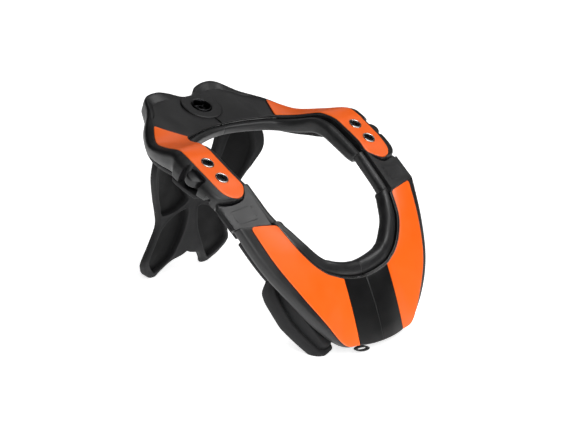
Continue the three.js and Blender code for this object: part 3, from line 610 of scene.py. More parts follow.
LIP_WIDE = 9.5  # width of the upturned lip on the rear lobes
BORDER_WIDE, BORDER_RISE = 0.85, 1.25  # black border beside the strips, almost level with them
KNEE_OUT, KNEE_DOWN = 0.84, 0.10  # where the outer bevel turns down, as shares of rim and drop
FLANK_DOWN = 0.62  # where the side begins to tuck in, as a share of the drop


def shell_corners(s, outer_rise=BORDER_RISE, undercut=0.0):
    """Corners of a cut; lobe is 1 on the rear lobes, which have a dished top and a lip."""
    lobe = min(max((6.5 - s.rim) / 4, 0), 1) if s.sag > 0 else 0
    border = BORDER_RISE * (1 - lobe)
    beyond = outer_rise * (1 - lobe)
    start = BORDER_WIDE + 0.2
    crease = s.width - BORDER_WIDE - 0.2 - LIP_WIDE * lobe
    corners = [(0, border - 0.1, 0.7 + 1.5 * lobe), (BORDER_WIDE, border, 0.3), (start, 0, 0.1)]
    for f in (0.12, 0.3, 0.5, 0.7, 0.88, 1.0):
        a = start + f * (crease - start)
        flat = top_height(s, a)
        dished = -1.25 * s.sag * f ** 1.5
        corners.append((a, flat + (dished - flat) * lobe, 3.0 if f < 1 else 0.1 + 2.9 * lobe))
    foot = corners[-1][1]
    corners += [
        (crease + 0.2, foot + (beyond - foot) * (1 - lobe), 0.3),
        (s.width, beyond, 0.8 + 3.1 * lobe),
        (s.width + KNEE_OUT * s.rim, beyond * 0.5 - KNEE_DOWN * s.drop, 4.0),
        (s.width + s.rim - undercut * s.drop, -FLANK_DOWN * s.drop, 2.0),
        (s.width + s.rim - undercut * s.drop - s.tuck, -s.drop, 1.8),
        (s.width * 0.6, -(s.deep + s.drop) / 2, 4.0),
        (0, -s.deep, 1.8),
    ]
    return corners


print("points in a cut", len(rounded(shell_corners(station(YOKE, 3)))))

# %% [markdown]
# Under each arm cap there is a slot for the tongue of the bridge, and outside it a notch with a
# release button. They are cut with blocks, and a round tool cuts the hole for the hub bolt. The
# flat plane of the slot is shared with the bridge, so it is given once here.

# %% The sliding plane, and the yoke with its cuts
PLANE_Y, PLANE_Z, PLANE_SLOPE = -20.0, 141.2, 0.68
UP_PLANE = Vector((0, -PLANE_SLOPE, 1)).normalized()
ALONG_PLANE = Vector((0, -1, -PLANE_SLOPE)).normalized()
SIDEWAYS, UPRIGHT = Vector((1, 0, 0)), Vector((0, 0, 1))
PIN_X, PIN_Y, PIN_R = 113.0, -20.0, 2.4
STEP_Y = -14.2  # where the slot ends towards the rear
BUTTON_ROW, BUTTON_LONG, BUTTON_TALL, BUTTON_DOWN = 12.38, 16.0, 8.0, 7.0
NOTCH_LONG, NOTCH_SOFT = 24.5, 3.6
HUB_ACROSS, HUB_HOLE_R, HUB_HOLE_DEEP = 30.6, 10.3, 7.0


def on_plane(x, y):
    """A point of the sliding plane."""
    return Vector((x, y, PLANE_Z + PLANE_SLOPE * (y - PLANE_Y)))


rows = steps(0.0, 16.0, 161)
rings = [ring_of(s, shell_corners(s)) for s in (station(YOKE, u) for u in rows)]
rings = soft_ends(rings, 0.5, 3, first=False)
rings[0] = inset_ring(rings[0], -SIDEWAYS, 0.45, 0.0)
yoke = skin("yoke", rings)

slot_tool = block("slot", on_plane(100, STEP_Y) + ALONG_PLANE * 30 + UP_PLANE * (GAP - 30),
                  SIDEWAYS, -ALONG_PLANE, UP_PLANE, (90, 60, 60))
at = station(YOKE, BUTTON_ROW)
lengthways = at.normal.cross(at.across)
notch_tool = block("notch", place(at, at.width + 0.9 + 15, -10), at.across, lengthways, at.normal,
                   (30, NOTCH_LONG, 40), soft=NOTCH_SOFT)
pocket_tool = block("pocket", place(at, at.width - 1, -BUTTON_DOWN), at.across, lengthways, at.normal,
                    (8, BUTTON_LONG + 2, BUTTON_TALL + 2), soft=1.0)
hub = station(YOKE, 0)
hub_across = Vector((0, hub.out_y - hub.in_y, hub.out_z - hub.in_z)).normalized()
hub_normal = SIDEWAYS.cross(hub_across).normalized()
hub_at = Vector((0, hub.in_y, hub.in_z)) + hub_across * HUB_ACROSS + hub_normal * GAP
hub_hole = round_tool(HUB_HOLE_R, -HUB_HOLE_DEEP, 9, hub_at, SIDEWAYS, hub_across, hub_normal, 56)
carve(yoke, slot_tool, notch_tool, pocket_tool, hub_hole)
dress_pair(yoke, SHELL, "rear_half", "rear_shell")

# %% [markdown]
# A steel pin stands in the outer corner of each slot. The bridge hooks round it; on the wearer's
# left it is the hinge. It is a turned pin with a small chamfer at its foot.

# %% Hinge pins
pin_profile = [(0, 2.2), (PIN_R, 2.2), (PIN_R, -6.4), (PIN_R - 0.6, -7.0), (0, -7.0)]
pin = turned("hinge_pin", pin_profile, on_plane(PIN_X, PIN_Y), SIDEWAYS,
             UP_PLANE.cross(SIDEWAYS), UP_PLANE, sides=24)
dress_pair(pin, BRIGHT, "rear_half")

# %% [markdown]
# An orange strip lies on each arm, from the plate to the arm end, with two screw holes. It is a
# thin moulding with a soft edge, so the light catches its border. Near its two ends the strip draws
# in along a small circle, which rounds the corners seen from above.

# %% Arm strips
TRIM_THICK = 1.2
ARM_EDGES, BIB_EDGES = (1.2, 1.2), (1.2, -0.3)  # from the inner and the outer edge of the top face
TRIM_FROM, TRIM_TO = 6.02, 15.85
EYELET_ROWS = {"rear": 12.0, "front": 13.0}
EYELET_HOLE_R = 6.6


def strip_rings(stations, edges, corner_first, corner_last, groove=None):
    """Rings of a thin cover on the top face, with its end corners rounded off."""
    middles = [place(s, s.width / 2, 0) for s in stations]
    run = [0.0]
    for a, b in zip(middles, middles[1:]):
        run.append(run[-1] + (b - a).length)

    def draw_in(distance, soft):
        if distance >= soft or soft == 0:
            return 0.0
        return soft - math.sqrt(soft * soft - (soft - distance) ** 2)

    made = []
    for s, at_run in zip(stations, run):
        corner = max(draw_in(at_run, corner_first), draw_in(run[-1] - at_run, corner_last))
        start, end = edges[0] + corner, s.width - edges[1] - corner
        spots = [start + (end - start) * t for t in (0, 0.2, 0.4, 0.6, 0.8, 1)]
        dent = groove(s) if groove else 0.0
        low = [(a, top_height(s, a) + GAP, 0.2) for a in spots]
        high = [(a, top_height(s, a) + GAP + TRIM_THICK - dent, 2.0) for a in spots]
        high[0] = (*high[0][:2], 0.5)
        high[-1] = (*high[-1][:2], 0.9)
        made.append(ring_of(s, low + high[::-1], pieces=3))
    return made


def end_rows(start, end, count, fine=0.1):
    """Row numbers that crowd together near both ends."""
    return sorted(set([start + (end - start) * (0.5 - 0.5 * math.cos(math.pi * t)) * (1 - fine)
                       + (end - start) * fine * t for t in steps(0, 1, count)]))


def eyelet_place(row):
    """Where an eyelet stands on the arm, and its station."""
    s = station(YOKE, row)
    return place(s, s.width / 2, top_height(s, s.width / 2) + GAP), s


trim_stations = [station(YOKE, u) for u in end_rows(TRIM_FROM, TRIM_TO, 110)]
arm_strip = skin("arm_strip", strip_rings(trim_stations, ARM_EDGES, 1.2, 2.6))
hole_tools = []
for row in EYELET_ROWS.values():
    at, s = eyelet_place(row)
    hole_tools.append(round_tool(EYELET_HOLE_R, -6, 8, at, s.across, s.normal.cross(s.across), s.normal, 48))
carve(arm_strip, *hole_tools)
dress_pair(arm_strip, PANEL, "rear_half", "arm_trim")

# %% [markdown]
# In each hole sits a bright eyelet ring with a black socket screw inside. Both are turned, and a
# six-sided block cuts the socket of the screw. The ring has a rolled lip, which is what shows as a
# thin bright circle from a distance.

# %% Eyelets and socket screws
RING_PROFILE = rounded([(4.9, 0.0, 0.2), (6.2, 0.0, 0.2), (6.2, 1.7, 0.6), (5.2, 1.8, 0.5),
                        (4.9, 1.1, 0.3)], 3)
HEAD_PROFILE = [(0, 0.0), (4.5, 0.0), (4.5, 0.7), (4.2, 1.1), (3.7, 1.25), (0, 1.25)]
SOCKET_R, SOCKET_FLOOR = 2.5, 0.3
for where_on_arm, row in EYELET_ROWS.items():
    at, s = eyelet_place(row)
    axes = s.across, s.normal.cross(s.across), s.normal
    ring = turned("eyelet_ring_" + where_on_arm, RING_PROFILE, at, *axes, 48)
    dress_pair(ring, BRIGHT, "rear_half", "eyelet_" + where_on_arm)
    head = turned("socket_screw_" + where_on_arm, HEAD_PROFILE, at, *axes, 36)
    carve(head, round_tool(SOCKET_R, SOCKET_FLOOR, 4, at, *axes, 6))
    dress_pair(head, SCREW, "rear_half", "arm_screw_" + where_on_arm)

# %% [markdown]
# In the middle of the yoke a low round disc covers the seam, cut straight behind. A wide black
# bolt with a deep cup sits in it and holds both halves. The disc lies almost flush, so it shows
# mainly by the fine shadow line around it, and the bolt by the bright lip of its cup.

# %% Hub disc and bolt
HUB_R, HUB_BACK = 21.0, 17.6
disc_profile = rounded([(10.4, -1.6, 0.2), (HUB_R, -1.6, 0.2), (HUB_R, 0.5, 0.4),
                        (HUB_R - 0.9, 1.0, 0.8), (12.4, 1.0, 0.8), (10.4, 0.6, 0.6)], 4)
disc = turned("hub_cover", disc_profile, hub_at, SIDEWAYS, hub_across, hub_normal, 96)
carve(disc, block("behind", hub_at + hub_across * (HUB_BACK + HUB_R), SIDEWAYS, hub_across, hub_normal,
                  (4 * HUB_R, 2 * HUB_R, 4 * HUB_R)))
dress(disc, SHELL, "rear_half", "hub_disc")
bolt_profile = rounded([(0, -6.0, 0.1), (9.8, -6.0, 0.3), (9.8, 1.0, 0.3), (9.5, 1.7, 0.4),
                        (8.7, 1.7, 0.4), (8.2, 0.4, 0.6), (7.6, -4.6, 1.0), (4.4, -5.0, 0.5),
                        (3.9, -1.6, 0.5), (2.4, -1.4, 0.3), (2.2, -4.8, 0.2), (0, -4.8, 0.1)], 4)
bolt = turned("hub_bolt", bolt_profile, hub_at, SIDEWAYS, hub_across, hub_normal, 64)
keys = []
for angle in steps(0.5, 0.5 + math.pi * 4 / 3, 3):
    turn = SIDEWAYS * math.cos(angle) + hub_across * math.sin(angle)
    keys.append(block("key", hub_at + hub_normal * -3.2 + turn * 6.0, turn, hub_normal.cross(turn),
                      hub_normal, (4.6, 1.5, 3.4), soft=0.4))
carve(bolt, *keys, operation="UNION")
dress(bolt, SCREW, "rear_half", "hub_screw")

# %% [markdown]
# The release buttons are small nylon keys in the notches. Pressing one in frees the bridge. Seen
# from above each has straight sides and a round end for the thumb; that outline is drawn at several
# heights, a little smaller at the top and bottom, which rounds its edges.

# %% Release buttons
BUTTON_BACK, BUTTON_SIDE, BUTTON_MIDDLE = -2.6, 4.0, 2.0
BUTTON_HALF_CUTS = [(0.5, 0.86), (0.47, 0.93), (0.40, 0.98), (0.30, 1)]  # share of height, size
at = station(YOKE, BUTTON_ROW)
along = at.normal.cross(at.across)
half = BUTTON_LONG / 2
thumb_end = [(half * math.cos(t), BUTTON_SIDE + half * math.sin(t)) for t in steps(0, math.pi, 25)]
outline = [(half, BUTTON_BACK), *thumb_end, (-half, BUTTON_BACK)]
rings = []
for up, size in BUTTON_HALF_CUTS + [(-up, size) for up, size in BUTTON_HALF_CUTS[::-1]]:
    rings.append([place(at, at.width + BUTTON_MIDDLE + (out - BUTTON_MIDDLE) * size,
                        -BUTTON_DOWN + up * BUTTON_TALL) + along * run * size for run, out in outline])
button = skin("release_button_cap", rings)
dress_pair(button, SHELL, "button_SIDE", "release_button")

# %% [markdown]
# Soft rolls line the hollow for the neck: two behind, two in front, and a short one beside each
# bridge. Each is a padded tube that is held along the shell and swells a little everywhere else.
# The tube is drawn slightly too thin and a short cloth simulation blows it up, with the row of
# points beside the shell held still. That gives the fullness of real foam under a tight skin.

# %% Roll tables and the rings of a roll
YOKE_ROLL = [  # row, wide, top, bottom
    [0.03, 7.0, -1.5, -11.0],
    [1.0, 7.5, -1.5, -11.0],
    [3.0, 8.5, -1.5, -11.5],
    [6.0, 9.5, -1.5, -13.0],
    [9.0, 10.5, -2.0, -17.0],
    [11.0, 12.0, -3.0, -19.0],
    [13.0, 12.5, -4.0, -18.0],
    [13.98, 11.0, -3.0, -15.0],
]
BIB_ROLL = [
    [0.02, 12.0, 0.0, -14.0],
    [1.0, 14.0, 0.0, -15.0],
    [2.0, 15.0, -0.5, -16.0],
    [3.5, 15.5, -0.5, -16.0],
    [5.0, 16.5, -0.5, -17.0],
    [6.985, 17.0, -0.5, -17.5],
]
BRIDGE_ROLL = [  # x, y, z, wide, top, bottom
    [81.4, -19.9, 148.0, 9.0, 0.0, -12.0],
    [81.2, -33.0, 137.6, 9.5, 0.0, -12.0],
    [80.4, -46.0, 127.2, 9.5, 0.0, -12.0],
    [78.6, -57.6, 118.4, 10.0, 0.4, -12.0],
]
ROLL_SQUARE = 0.72  # 1 is a plain ellipse, smaller is squarer
ROLL_POINTS = 32
ROLL_START = 0.95  # share of the full size before it swells
ROLL_TUCK = 0.8  # how far the soft roll is pressed against the shell


def smooth_at(table, x):
    """Smooth values of a table against its first column, rising or falling."""
    order = table if table[0][0] < table[-1][0] else table[::-1]
    last = len(order) - 1
    i = 0
    while i < last - 1 and x > order[i + 1][0]:
        i += 1
    x0, x1 = order[i][0], order[i + 1][0]
    t = min(max((x - x0) / (x1 - x0), 0), 1)
    lo, hi = max(i - 1, 0), min(i + 2, last)
    values = []
    for c in range(1, len(order[0])):
        m0 = (order[i + 1][c] - order[lo][c]) / (x1 - order[lo][0]) * (x1 - x0)
        m1 = (order[hi][c] - order[i][c]) / (order[hi][0] - x0) * (x1 - x0)
        values.append(curve_between(t, order[i][c], m0, order[i + 1][c], m1))
    return values


def roll_ring(s, wide, top, bottom, size):
    """A squarish oval beside the inner edge of the shell."""
    ring = []
    for k in range(ROLL_POINTS):
        angle = 2 * math.pi * k / ROLL_POINTS
        c, n = math.cos(angle), math.sin(angle)
        a = ROLL_TUCK - GAP - wide / 2 + math.copysign(abs(c) ** ROLL_SQUARE, c) * size * wide / 2
        h = (top + bottom) / 2 + math.copysign(abs(n) ** ROLL_SQUARE, n) * size * (top - bottom) / 2
        ring.append(place(s, a, h))
    return ring


def roll_piece(name, stations, end_soft):
    """A tube with rounded ends, as four-sided faces of about two millimetres."""
    rings = [roll_ring(s, s.wide, s.top, s.bottom, ROLL_START) for s in stations]
    return skin(name, soft_ends(rings, end_soft, 4))


def beside(table, rolls, start, end, count):
    """Stations of a shell, each with the sizes of the roll beside it."""
    made = []
    for u in steps(start, end, count):
        s = station(table, u)
        s.wide, s.top, s.bottom = smooth_at(rolls, u)
        made.append(s)
    return made


def eased(stations):
    """Averages neighbouring cuts, because a roll doesn't follow every bend and twist of the shell."""
    for name, passes in (("inner", 12), ("across", 220), ("normal", 220)):
        for _ in range(passes):
            old = [getattr(s, name).copy() for s in stations]
            for before, here, after, s in zip(old, old[1:], old[2:], stations[1:]):
                mixed = (before + here * 2 + after) / 4
                setattr(s, name, mixed if name == "inner" else mixed.normalized())
    return stations


def led_on(stations, length):
    """Carries the first cut straight on for some millimetres."""
    first = stations[0]
    way = (first.inner - stations[1].inner).normalized()
    further = [first.inner + way * distance for distance in steps(length, 1.2, 3)]
    return [SimpleNamespace(**{**vars(first), "inner": inner}) for inner in further] + stations


bridge_stations = []
for u in steps(0.0, 3.0, 22):
    x, y, z, wide, top, bottom = row_at(BRIDGE_ROLL, u)
    bridge_stations.append(SimpleNamespace(inner=Vector((x, y, z)), across=SIDEWAYS, normal=UP_PLANE,
                                           wide=wide, top=top, bottom=bottom))
yoke_roll = roll_piece("neck_roll_rear", eased(beside(YOKE, YOKE_ROLL, 0.12, 13.9, 116)), 1.6)
bib_roll = roll_piece("neck_roll_front",
                      led_on(eased(beside(BIB, BIB_ROLL, 0.02, 6.87, 96)), 4.2), 2.2)
bridge_roll = roll_piece("neck_roll_bridge", bridge_stations, 1.4)
rolls = [yoke_roll, bib_roll, bridge_roll]
print("roll points", [len(r.data.vertices) for r in rolls])

# %% [markdown]
# Cloth with a little inner pressure and no gravity is how foam under a skin is blown up. It runs for
# a few frames only, and no point may move further than a cap, so the rolls stay beside the shells.

# %% Swell the rolls
PRESSURE, SWELL_CAP, SWELL_FRAMES = 4.0, 0.0011, 20


def held_points(piece):
    """The row of points that lies against the shell, which is where every ring starts."""
    return [v.index for v in piece.data.vertices if v.index % ROLL_POINTS in (ROLL_POINTS - 1, 0, 1)]


def swell(pieces):
    """A short cloth run with inner pressure, no gravity, and a cap on how far a point moves."""
    before = []
    for piece in pieces:
        before.append([v.co.copy() for v in piece.data.vertices])
        group = piece.vertex_groups.new(name="held")
        group.add(held_points(piece), 1.0, "REPLACE")
        cloth = piece.modifiers.new("swell", "CLOTH")
        cloth.settings.vertex_group_mass = "held"
        cloth.settings.use_pressure = True
        cloth.settings.uniform_pressure_force = PRESSURE
        cloth.settings.effector_weights.gravity = 0.0
    scene = bpy.context.scene
    for number in range(1, SWELL_FRAMES + 1):
        scene.frame_set(number)
    graph = bpy.context.evaluated_depsgraph_get()
    ends = [[v.co.copy() for v in piece.evaluated_get(graph).data.vertices] for piece in pieces]
    for piece, old, new in zip(pieces, before, ends):
        piece.modifiers.clear()
        moved = [min((b - a).length, SWELL_CAP) for a, b in zip(old, new)]
        for v, a, b in zip(piece.data.vertices, old, new):
            way = b - a
            v.co = a + way * (min(way.length, SWELL_CAP) / way.length if way.length > 1e-9 else 0)
        print(piece.name, "swelled by up to", round(max(moved) * 1000, 2), "mm")
    scene.frame_set(1)


swell(rolls)

# %% [markdown]
# After the simulation each roll gets one subdivision, which smooths the skin. The bridge roll ends
# where the bib begins, so a block along the bib's end face trims it.

# %% Finish the rolls
def bib_end(further=0.0, deep=100.0):
    """A block that holds everything in front of the bib's shoulder end, down to some depth."""
    s = station(BIB, 0)
    face = s.across.cross(s.normal).normalized()
    if face.dot(s.along) < 0:
        face.negate()
    at = place(s, s.width / 2, 50 - deep / 2) + face * (60 - GAP - 0.1 + further)
    return block("bib_end", at, s.across, s.normal, face, (200, 100 + deep, 120))


for roll in rolls:
    roll.modifiers.new("smooth", "SUBSURF").levels = 1
    keep_evaluated(roll)
carve(bridge_roll, bib_end(-4.0))
dress_pads(yoke_roll, PAD, "rear_half", "rear_neck_pad", sharp=60)
dress_pads(bib_roll, PAD, "front_half", "front_neck_pad", sharp=60)
dress_pads(bridge_roll, PAD, "front_half", "bridge_pad", sharp=60)

# %% [markdown]
# Under the arms and under the bib's shoulder ends lies a thin foam pad that rests on the body. It
# follows the underside of the shell and has soft lower edges.

# %% Shoulder pads
UNDER_THICK = 5.5


def under_rings(table, start, end, count, inset):
    """Rings of a foam pad against the underside of a shell."""
    made = []
    for u in steps(start, end, count):
        s = station(table, u)
        full = s.width + s.rim - s.tuck
        outer = full - 1

        def base(a):
            return -s.deep + (a / full) * (s.deep - s.drop) - GAP - 0.5

        made.append(ring_of(s, [
            (inset, base(inset), 0.8),
            (outer, base(outer), 0.8),
            (outer - 0.6, base(outer) - UNDER_THICK * 0.8, 2.2),
            (outer - 4, base(outer) - UNDER_THICK, 2.2),
            (inset + 3, base(inset) - UNDER_THICK, 2.2),
            (inset, base(inset) - UNDER_THICK * 0.6, 2.2),
        ], 4))
    return made


arm_pad = skin("shoulder_pad_arm", soft_ends(under_rings(YOKE, 6.45, 12.86, 90, 3), 1.4))
bib_pad = skin("shoulder_pad_bib", soft_ends(under_rings(BIB, 0.34, 1.21, 20, 9), 1.2))
dress_pads(arm_pad, FOAM, "rear_half", "arm_under_pad")
dress_pads(bib_pad, FOAM, "front_half", "bib_under_pad")

# %% [markdown]
# Behind the brace hangs the back plate, a moulded X with deep pockets and ribs between them. It is
# drawn as a grid over height and width; the outline says where the grid ends, and a low bead is
# raised around each pocket. The pockets are pressed in with tools whose floor follows the curl of
# the plate, because a grid alone would blur their steep walls.

# %% Back plate tables
PLATE = [  # height, y of the middle, curl, outer edge, inner edge of the left half
    [166.0, 128.0, 0.0052, 63.0, 31.0],
    [152.0, 128.0, 0.0052, 66.0, 30.0],
    [138.0, 128.0, 0.0047, 72.0, 28.0],
    [123.0, 128.0, 0.0042, 73.0, 24.0],
    [106.0, 128.0, 0.0035, 66.0, 15.0],
    [98.0, 128.4, 0.0031, 61.5, 6.0],
    [94.0, 128.6, 0.0029, 59.6, -1.0],
    [78.0, 129.4, 0.0019, 51.4, -1.0],
    [62.0, 130.6, 0.001, 46.5, -1.0],
    [44.0, 133.0, 0.0003, 50.5, -1.0],
    [26.0, 135.6, 0.0, 57.0, -1.0],
    [20.5, 137.4, -0.0002, 57.0, 5.0],
    [17.5, 138.8, -0.0002, 56.0, 16.5],
    [8.0, 144.0, -0.0002, 49.5, 27.0],
    [2.0, 147.2, -0.0002, 41.5, 31.0],
    [0.0, 148.2, -0.0002, 38.5, 32.0],
]
POCKETS = [  # x and height of the corners
    [(58, 147), (64, 124), (57, 98), (50, 85), (44, 73),
     (24, 73.5), (8, 82), (20, 98), (31, 116), (43, 147)],
    [(8, 71), (27, 67), (41, 57), (46.5, 42), (52, 27),
     (48, 17), (37, 7), (28, 15), (21, 24), (10, 48)],
]
PLATE_THICK, PLATE_SOFT, POCKET_DEEP = 8.0, 2.2, 5.2


def closed_curve(corners, per_side=7, pull=0.4):
    """A soft closed line through the corners."""
    line = []
    count = len(corners)
    for k in range(count):
        p0, p1, p2, p3 = (np.array(corners[(k + j) % count], float) for j in (-1, 0, 1, 2))
        for t in np.arange(per_side) / per_side:
            line.append(curve_between(t, p1, pull * (p2 - p0), p2, pull * (p3 - p1)))
    return np.array(line)


def inside_distance(points, line):
    """Distance of each point to a closed line, positive inside it."""
    far = np.full(len(points), 1e9)
    inside = np.zeros(len(points), bool)
    for a, b in zip(line, np.roll(line, -1, axis=0)):
        way = b - a
        t = np.clip(((points - a) @ way) / (way @ way), 0, 1)
        far = np.minimum(far, np.linalg.norm(points - a - t[:, None] * way, axis=1))
        crosses = (a[1] > points[:, 1]) != (b[1] > points[:, 1])
        if abs(b[1] - a[1]) > 1e-9:
            inside ^= crosses & (points[:, 0] < a[0] + (points[:, 1] - a[1]) / (b[1] - a[1]) * way[0])
    return np.where(inside, far, -far)


POCKET_LINES = [closed_curve(corners) for corners in POCKETS]
print("pocket outlines", [len(line) for line in POCKET_LINES])

# %% Back plate
def bead(points):
    """Height of the bead that runs round the pockets, at points of (x, height)."""
    high = np.zeros(len(points))
    for line in POCKET_LINES:
        high += 0.45 * np.exp(-((inside_distance(points, line) + 1.3) / 1.3) ** 2)
    return high


EDGE_STEPS = [0, 0.25, 0.7, 1.4, 2.3, 3.3]
heights = list(np.linspace(166, 3, 150)) + [2.0, 1.2, 0.6, 0.2, 0.0]
front, back, inner_edges = [], [], []
for z in heights:
    mid, curl, outer, inner = smooth_at(PLATE, z)
    inner = max(inner, 0.0)
    xs = np.array([inner + d for d in EDGE_STEPS] + list(np.linspace(inner + 4.6, outer - 4.6, 46))
                  + [outer - d for d in EDGE_STEPS[::-1]])
    near_inner = np.where(inner > 0, xs - inner, 9.0) / min(1.0, max(inner, 0.01) / 3)
    edge = np.minimum(np.minimum(near_inner, outer - xs), PLATE_SOFT)
    roll_off = PLATE_SOFT - np.sqrt(np.maximum(PLATE_SOFT ** 2 - (PLATE_SOFT - edge) ** 2, 0))
    foot = 1.4 * max(0.0, 1 - z / 2.0) ** 2
    raised = bead(np.stack([xs, np.full_like(xs, z)], axis=1))
    face = mid - curl * xs ** 2
    front.append(np.stack([xs, face + roll_off - raised + foot, np.full_like(xs, z)], axis=1))
    back.append(np.stack([xs, face + PLATE_THICK - roll_off - foot, np.full_like(xs, z)], axis=1))
    inner_edges.append(inner)
wide = len(front[0])
points = [tuple(p) for grid in (front, back) for row in grid for p in row]
second = len(heights) * wide
faces = []
for r in range(len(heights) - 1):
    for k in range(wide - 1):
        a = r * wide + k
        faces.append((a, a + 1, a + 1 + wide, a + wide))
        faces.append((second + a, second + a + wide, second + a + 1 + wide, second + a + 1))
    a = r * wide + wide - 1
    faces.append((a, second + a, second + a + wide, a + wide))
    if inner_edges[r] > 0 or inner_edges[r + 1] > 0:
        a = r * wide
        faces.append((a, a + wide, second + a + wide, second + a))
for k in range(wide - 1):
    last = (len(heights) - 1) * wide
    faces.append((k, second + k, second + k + 1, k + 1))
    faces.append((last + k, last + k + 1, second + last + k + 1, second + last + k))
whole = points + [(-x, y, z) for x, y, z in points]
faces += [tuple(len(points) + k for k in face[::-1]) for face in faces]
back_plate = new_piece("back_plate", whole, faces)
print("back plate points", len(back_plate.data.vertices))

# %% [markdown]
# The plate's top ends just under the yoke. The yoke itself, drawn a little larger, is the tool that
# trims it, so the joint line follows the yoke all the way. The pocket tools have a wide mouth,
# steep walls and a rounded foot; scaled copies of the pocket's outline make them. At the end each
# point that lies sunk in a pocket is marked for painted shade, darker the deeper it lies.

# %% Trim the back plate under the yoke
GROW = GAP + 0.1
PAINTED_SHADE_FULL_DEPTH = 2.5  # depth from which a pocket point gets the full painted shade


def grown_ring(s):
    """A cut of the yoke, a little larger than the real one."""
    s.rim, s.drop, s.deep = s.rim + GROW, s.drop + GROW, s.deep + GROW
    return ring_of(s, shell_corners(s), 2)


POCKET_STEPS = [  # size of the outline, depth under the face
    (0.02, -2), (0.5, -2), (0.9, -2), (1.04, -2), (1.02, 0), (0.985, 0.9),
    (0.96, POCKET_DEEP - 1.0), (0.93, POCKET_DEEP - 0.2), (0.88, POCKET_DEEP),
    (0.6, POCKET_DEEP), (0.3, POCKET_DEEP), (0.02, POCKET_DEEP),
]


def pocket_rings(line):
    """Copies of a pocket's outline, each scaled about its middle and set at its depth."""
    middle = line.mean(axis=0)
    rings = []
    for size, deep in POCKET_STEPS:
        ring = []
        for x, z in middle + (line - middle) * size:
            mid, curl, _, _ = smooth_at(PLATE, z)
            ring.append(Vector((x, mid - curl * x * x + deep, z)))
        rings.append(ring)
    return rings


tool_sets = [[grown_ring(station(YOKE, u)) for u in steps(0, 9, 46)]]
tool_sets += [pocket_rings(line) for line in POCKET_LINES]
tools = []
for tool_rings in tool_sets:
    tools.append(skin("plate_tool", tool_rings))
    tools.append(skin("plate_tool", [[flipped(p) for p in ring] for ring in tool_rings]))
carve(back_plate, *tools)

spots = np.array([v.co for v in back_plate.data.vertices]) * 1000
spots[:, 1] -= SHIFT_Y
plate_rows = [smooth_at(PLATE, z) for z in spots[:, 2]]
face_y = [mid - curl * x * x for (mid, curl, _, _), x in zip(plate_rows, spots[:, 0])]
sunk = spots[:, 1] - np.array(face_y)
across = np.stack([np.abs(spots[:, 0]), spots[:, 2]], axis=1)
in_pocket = np.max([inside_distance(across, line) for line in POCKET_LINES], axis=0) > -0.5
in_pocket &= sunk < PLATE_THICK - 1  # not on the back face
# painted shade: each pocket point gets a value from 0 to 1 by its depth, which darkens the foam colour there
pocket_shade_mark = back_plate.data.attributes.new("painted_pocket_shade", "FLOAT", "POINT")
pocket_shade_mark.data.foreach_set("value", np.where(in_pocket, np.clip(sunk / PAINTED_SHADE_FULL_DEPTH, 0, 1), 0.0))
print("points in the pockets", int(in_pocket.sum()), "of", len(spots))
dress(back_plate, FOAM, "rear_half", "rear_stabiliser", sharp=50)

# %% [markdown]
# The bib is the U-shaped chest plate. Its black shell is one skin from shoulder to shoulder. On it
# lie two orange covers and a black middle cover with a fine groove down its centre line.

# %% Bib shell and covers
BIB_RISE, BIB_UNDERCUT = 0.3, 0.06  # low outer border, and how far the side leans in


def bib_station(u):
    """A station counted from the left shoulder (0) over the middle (7) to the right one (14)."""
    s = station(BIB, min(u, 14 - u))
    if abs(u - 7) < 1e-6:
        s.across = Vector((0, s.across.y, s.across.z)).normalized()
        s.normal = SIDEWAYS.cross(s.across).normalized()
        if s.normal.z < 0:
            s.normal.negate()
    s.from_middle = abs(u - 7) * 14.0
    if u > 7:
        for name in ("inner", "across", "normal"):
            setattr(s, name, flipped(getattr(s, name)))
    return s


bib_stations = [bib_station(u) for u in steps(0.04, 13.96, 169)]
bib_rings = [ring_of(s, shell_corners(s, BIB_RISE, BIB_UNDERCUT)) for s in bib_stations]
bib_shell = skin("bib_plate", soft_ends(bib_rings, 1.0, 4))
dress(bib_shell, SHELL, "front_half", "bib_shell")

STRIPE_ROW = 5.0  # where the orange covers end and the middle one begins
cover_rows = end_rows(0.03, STRIPE_ROW - 0.02, 110)
cover_rings = strip_rings([station(BIB, u) for u in cover_rows], BIB_EDGES, 3.4, 0.5)
dress_pair(skin("bib_cover", cover_rings), PANEL, "front_half", "bib_panel")

GROOVE_DEEP, GROOVE_WIDE = 0.5, 0.55
near_middle = [7 + d for d in (-0.09, -0.06, -0.045, -0.03, -0.015, 0, 0.015, 0.03, 0.045, 0.06, 0.09)]
stripe_rows = (steps(STRIPE_ROW + 0.02, 6.85, 30) + near_middle
               + steps(7.15, 14 - STRIPE_ROW - 0.02, 30))


def centre_groove(s):
    """Depth of the groove at a station of the middle cover."""
    return GROOVE_DEEP * math.exp(-(s.from_middle / GROOVE_WIDE) ** 2)


stripe_rings = strip_rings([bib_station(u) for u in stripe_rows], BIB_EDGES, 0.4, 0.4, centre_groove)
dress(skin("bib_middle_cover", stripe_rings), MIDDLE, "front_half", "bib_stripe")

# %% [markdown]
# The piping beside the rolls is vinyl, drawn as a smooth tube and glossy from new. The eye gets a
# black line with one hard bright streak, so it has a clear coat and little roughness.

# %% Vinyl piping, glossy
VINYL_WEAR_MM = 5.0

